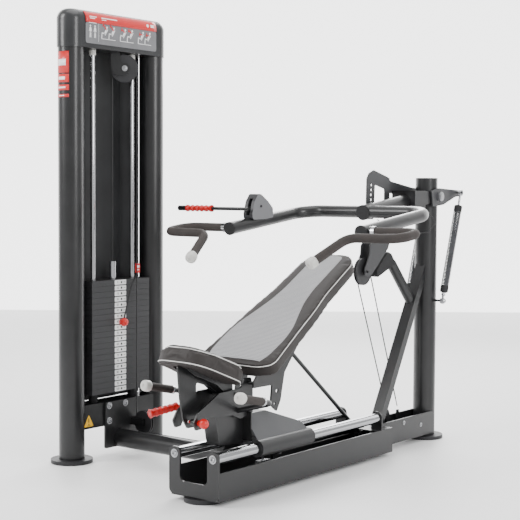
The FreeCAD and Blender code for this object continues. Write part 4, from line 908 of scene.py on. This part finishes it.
# ---------------------------------------------------------------- decals and labels
def wall(origin, across, rise):
    """Maps a flat drawing to a wall; height goes out of it."""
    out = across.cross(rise)
    return lambda u, v, h: origin + across * u + rise * v + out * h


def drawing(name, shapes, place, material, body, thickness=0.0006):
    def build(work):
        for outline in shapes:
            slab(work, outline, place, thickness)
    return add_piece(name, to_mesh(name, build), material, body, smooth=False)


def figure(u, v, size):
    """A generic standing person made of round-ended bars."""
    neck = v + size * 0.36
    shapes = [disc_outline(size * 0.075, (u, neck + size * 0.14), 14),
              capsule((u, v), (u, neck), size * 0.06)]
    for side in SIDES:
        shapes.append(capsule((u + side * size * 0.035, v),
                              (u + side * size * 0.06, v - size * 0.42), size * 0.03))
        shapes.append(capsule((u + side * size * 0.07, neck - size * 0.01),
                              (u + side * size * 0.13, neck - size * 0.30), size * 0.022))
    return shapes


def sitter(u, v, size):
    """A generic person seated on a sloping bench."""
    return [disc_outline(size * 0.075, (u + size * 0.22, v + size * 0.44), 14),
            capsule((u, v), (u + size * 0.17, v + size * 0.30), size * 0.06),
            capsule((u, v), (u - size * 0.26, v + size * 0.04), size * 0.042),
            capsule((u - size * 0.26, v + size * 0.04), (u - size * 0.28, v - size * 0.30),
                    size * 0.034),
            capsule((u + size * 0.04, v - size * 0.10), (u + size * 0.30, v + size * 0.30),
                    size * 0.022),
            capsule((u - size * 0.30, v - size * 0.36), (u + size * 0.34, v - size * 0.36),
                    size * 0.018)]


def press_stroke(u, v, size, rise):
    """An arm of the seated figure at one stage of the press, with the handle it holds."""
    return [capsule((u + size * 0.16, v + size * 0.28),
                    (u - size * 0.10, v + size * (0.28 + rise)), size * 0.035),
            capsule((u - size * 0.16, v + size * (0.20 + rise)),
                    (u - size * 0.10, v + size * (0.40 + rise)), size * 0.03)]


front_place = wall(Vector((HEADER_X, 0.9135, 2.055)), X, Z)
PANEL_HALF = 0.2425
drawing("header_panel", [rounded(box_outline(2 * PANEL_HALF, 0.097, (0, -0.0185)), 0.012)],
        front_place, "print_grey", "frame", 0.0012)


def build_band(work):
    """The red band follows the header's face and its rounded upper edge."""
    profile = [(0.9128, 2.086), (0.9128, 2.097)]
    profile += [(FILLET_Y - 0.0512 * math.cos(a), FILLET_Z + 0.0512 * math.sin(a))
                for a in (math.radians(7 * k) for k in range(1, 8))]
    rows = []
    for k in range(25):
        x = HEADER_X - PANEL_HALF + 2 * PANEL_HALF * k / 24
        rows.append([work.verts.new((x, y, z)) for y, z in profile])
    for a, b in zip(rows, rows[1:]):
        for k in range(len(profile) - 1):
            work.faces.new((a[k], a[k + 1], b[k + 1], b[k]))


band = add_piece("header_red_band", to_mesh("band", build_band), "print_red", "frame")
thick = band.modifiers.new("thick", "SOLIDIFY")
thick.thickness, thick.offset = 0.0014, 1
figures = figure(-0.212, -0.014, 0.058) + figure(-0.182, -0.014, 0.058)
strokes = []
for k, rise in enumerate((0.30, 0.16, 0.02)):
    for shift in (0.0, 0.048):
        u = -0.118 + k * 0.125 + shift
        figures += sitter(u, -0.014, 0.070)
        strokes += press_stroke(u, -0.014, 0.070, rise)
figures += [box_outline(0.050, 0.0035, (-0.197, 0.030)),
            box_outline(0.0012, 0.085, (-0.158, -0.014))]
print_place = wall(Vector((HEADER_X, 0.9122, 2.055)), X, Z)
drawing("header_figures", figures, print_place, "print_white", "frame", 0.0005)
drawing("header_strokes", strokes, print_place, "print_red", "frame", 0.0008)
BAND_LEAN = math.radians(14)
band_rise = Vector((0, math.sin(BAND_LEAN), math.cos(BAND_LEAN)))
band_place = wall(Vector((HEADER_X, FILLET_Y, FILLET_Z)) + X.cross(band_rise) * 0.0520,
                  X, band_rise)
drawing("header_band_marks", [
    box_outline(0.046, 0.0045, (-0.193, 0.004)), box_outline(0.034, 0.0045, (-0.199, -0.004)),
    box_outline(0.105, 0.0052, (-0.086, 0.003)), box_outline(0.030, 0.003, (-0.1235, -0.006)),
    disc_outline(0.008, (0.180, 0)), rounded(box_outline(0.024, 0.015, (0.213, 0)), 0.003),
], band_place, "print_white", "frame", 0.0014)


def post_patch(name, low, high, material, spread=38, lift=0.0006, shift=0.0):
    """A printed patch wrapped round the near post's outer face."""
    centre = Vector((-1.616, 0.980, 0))

    def build(work):
        rows = []
        for k in range(19):
            a = math.pi + math.radians(-spread + 2 * spread * k / 18 + shift)
            point = centre + Vector((math.cos(a), math.sin(a), 0)) * (0.061 + lift)
            rows.append([work.verts.new(point + Z * low), work.verts.new(point + Z * high)])
        for a, b in zip(rows, rows[1:]):
            work.faces.new((a[0], b[0], b[1], a[1]))
    piece = add_piece(name, to_mesh(name, build), material, "frame")
    solid = piece.modifiers.new("thick", "SOLIDIFY")
    solid.thickness, solid.offset = 0.0004, -1


POST_PATCHES = ((1.844, 1.944), (1.800, 1.838), (1.763, 1.789), (1.731, 1.745))
POST_MARKS = ((1.878, 1.908, 24), (1.812, 1.826, 20), (1.772, 1.780, 22), (1.736, 1.740, 15))
for k, (low, high) in enumerate(POST_PATCHES):
    post_patch(f"post_decal_{k}", low, high, "print_red")
for k, (low, high, spread) in enumerate(POST_MARKS):
    post_patch(f"post_mark_{k}", low, high, "print_white", spread, 0.0011)

sign_place = wall(Vector((-1.553, 0.930, 0.192)), X, Z)
triangle = rounded([(-0.032, -0.026), (0.032, -0.026), (0, 0.032)], 0.009)
drawing("warning_triangle", [triangle], sign_place, "print_yellow", "frame")
sign_top = wall(Vector((-1.553, 0.9294, 0.192)), X, Z)
drawing("warning_mark", [capsule((0, 0.012), (0, -0.004), 0.0028), disc_outline(0.0034, (0, -0.0145)),
                         capsule((-0.010, -0.021), (0.010, -0.021), 0.0012)],
        sign_top, "print_black", "frame")

for k, x in enumerate((-1.475, -1.205)):
    add_piece(f"guide_bushing_{k}", to_mesh("bushing", lambda work, x=x: lathe(
        work, [(0.0127, 0.0), (0.0165, 0.0), (0.017, 0.001), (0.017, 0.024), (0.0127, 0.024)],
        Vector((x, 0.980, 1.9425)), Z, 30)), "knob_white", "frame")


# plate labels: one for each plate, with its number and a black disc, painted shade, where the
# selector hole is
LABEL_X = -1.347


def numeral_shapes(number, height, at):
    """The number's outline as flat polygons from the built-in font."""
    curve = bpy.data.curves.new("numeral", "FONT")
    curve.body = str(number)
    curve.size = height
    curve.align_x = "CENTER"
    curve.align_y = "CENTER"
    item = bpy.data.objects.new("numeral", curve)
    scene.collection.objects.link(item)
    evaluated = item.evaluated_get(bpy.context.evaluated_depsgraph_get())
    mesh = bpy.data.meshes.new_from_object(evaluated)
    shapes = [[(mesh.vertices[i].co.x + at[0], mesh.vertices[i].co.y + at[1]) for i in face.vertices]
              for face in mesh.polygons]
    bpy.data.objects.remove(item)
    bpy.data.curves.remove(curve)
    bpy.data.meshes.remove(mesh)
    return shapes


for body, first, count, label in (("frame", 0, 12, "resting"), ("lifted_stack", 12, 8, "lifted")):
    labels, hole_shade_and_dashes, numerals = [], [], []
    for k in range(first, first + count):
        v = STACK_LOW + PITCH_Z * k + 0.0135
        labels.append(rounded(box_outline(0.078, 0.0225, (0, v)), 0.003, 3))
        # painted shade: a black disc where the selector hole shows through the label
        hole_shade_and_dashes.append(disc_outline(0.0056, (0.007, v)))
        numerals += numeral_shapes(5 * (20 - k), 0.015, (-0.019, v))
        hole_shade_and_dashes.append(box_outline(0.012, 0.0018, (0.028, v)))
    face = wall(Vector((LABEL_X, 0.920, 0)), X, Z)
    drawing(f"{label}_labels", labels, face, "print_white", body, 0.0006)
    over = wall(Vector((LABEL_X, 0.9194, 0)), X, Z)
    drawing(f"{label}_label_print", hole_shade_and_dashes + numerals, over, "print_black", body,
            0.0003)


# selector pin: moulded ball with a neck, and its flat lanyard up to a tag on the stack's head
PIN = Vector((-1.341, 0.900, 0.655))
add_piece("selector_ball", to_mesh("ball", lambda work: lathe(
    work, [(0.0, 0.0205), (0.010, 0.018), (0.017, 0.0115), (0.0203, 0.002), (0.0195, -0.006),
           (0.0145, -0.0145), (0.0128, -0.0175), (0.0150, -0.0185), (0.0150, -0.0192)],
    PIN, -Y, 36)), "grip_red", "selector", stands_for=("selector_pin",))
add_piece("selector_shank", to_mesh("shank", lambda work: lathe(
    work, [(0.0, 0.0), (0.0049, 0.0), (0.0049, 0.105), (0.003, 0.109), (0.0, 0.109)],
    PIN + Y * 0.004, Y, 24)), "chrome", "selector")
TAG = Vector((-1.247, 0.900, 0.915))


def build_lanyard(work):
    line = smooth_line([PIN + Vector((0.004, 0.004, 0.019)), PIN + Vector((0.020, -0.002, 0.09)),
                        PIN + Vector((0.046, -0.003, 0.17)), TAG + Vector((-0.010, 0.0, -0.036)),
                        TAG - Z * 0.018], 8)
    rows = []
    for point in line:
        rows.append([work.verts.new(point + X * s + Y * t) for s, t in
                     ((-0.0045, -0.0008), (0.0045, -0.0008), (0.0045, 0.0008), (-0.0045, 0.0008))])
    for a, b in zip(rows, rows[1:]):
        for k in range(4):
            work.faces.new((a[k], a[(k + 1) % 4], b[(k + 1) % 4], b[k]))
    work.faces.new(rows[0])
    work.faces.new(list(reversed(rows[-1])))


lanyard_mesh = to_mesh("selector_lanyard", build_lanyard)
lanyard_mesh.materials.append(MAT["rubber"])
lanyard = bpy.data.objects.new("selector_lanyard", lanyard_mesh)
scene.collection.objects.link(lanyard)
lanyard.data.shade_smooth()
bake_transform(lanyard)
tag_place = wall(TAG + Y * 0.003, X, Z)
drawing("lanyard_tag", [rounded(box_outline(0.030, 0.048), 0.007)], tag_place, "print_red",
        "lifted_stack", 0.005)
drawing("lanyard_tag_mark", [rounded(box_outline(0.020, 0.012, (0, 0.008)), 0.003),
                             box_outline(0.018, 0.004, (0, -0.008))],
        wall(TAG - Y * 0.002, X, Z), "print_white", "lifted_stack", 0.0006)


# ---------------------------------------------------------------- floor and light
floor = bpy.data.objects.new("floor", to_mesh("floor", lambda work: work.faces.new(
    [work.verts.new(p) for p in ((-30, -30, 0), (30, -30, 0), (30, 30, 0), (-30, 30, 0))])))
scene.collection.objects.link(floor)
floor_material = painted("floor", (0.9, 0.9, 0.9), 0.5, grain=60, depth=0.00005, mottle=0.01)
floor.data.materials.append(floor_material)

# a glowing white backdrop stands well behind the machine
level = Vector((math.cos(YAW), math.sin(YAW), 0))
middle = Vector((-1.0, 0.4, 0)) + level * 7.5
corners = [middle + level_right * across + Z * height
           for across, height in ((-16, 0), (16, 0), (16, 11), (-16, 11))]
backdrop = bpy.data.objects.new("backdrop", to_mesh("backdrop", lambda work: work.faces.new(
    [work.verts.new(p) for p in corners])))
scene.collection.objects.link(backdrop)
glow = Shader("backdrop")
glow.set(Base_Color=(0.9, 0.9, 0.9, 1), Emission_Color=(1, 1, 1, 1), Emission_Strength=2.6)
backdrop.data.materials.append(glow.material)

world = bpy.data.worlds.new("studio")
scene.world = world
world.use_nodes = True
world.node_tree.nodes["Background"].inputs["Color"].default_value = (1, 1, 1, 1)
world.node_tree.nodes["Background"].inputs["Strength"].default_value = 0.9


def softbox(name, place, target, width, height, power):
    data = bpy.data.lights.new(name, "AREA")
    data.shape = "RECTANGLE"
    data.size, data.size_y, data.energy = width, height, power
    item = bpy.data.objects.new(name, data)
    scene.collection.objects.link(item)
    item.location = place
    item.rotation_mode = "QUATERNION"
    item.rotation_quaternion = (Vector(target) - Vector(place)).to_track_quat("-Z", "Y")


softbox("key", (-5.0, 2.6, 3.4), (-1.0, 0.2, 0.9), 1.6, 2.6, 190)
softbox("fill", (-1.5, -4.6, 2.8), (-1.0, 0.2, 0.9), 1.6, 2.6, 150)
softbox("rim", (2.6, 2.0, 3.2), (-1.0, 0.4, 1.0), 1.6, 2.2, 120)
softbox("top", (-1.2, 0.2, 4.6), (-1.0, 0.2, 0.5), 3.0, 3.0, 90)
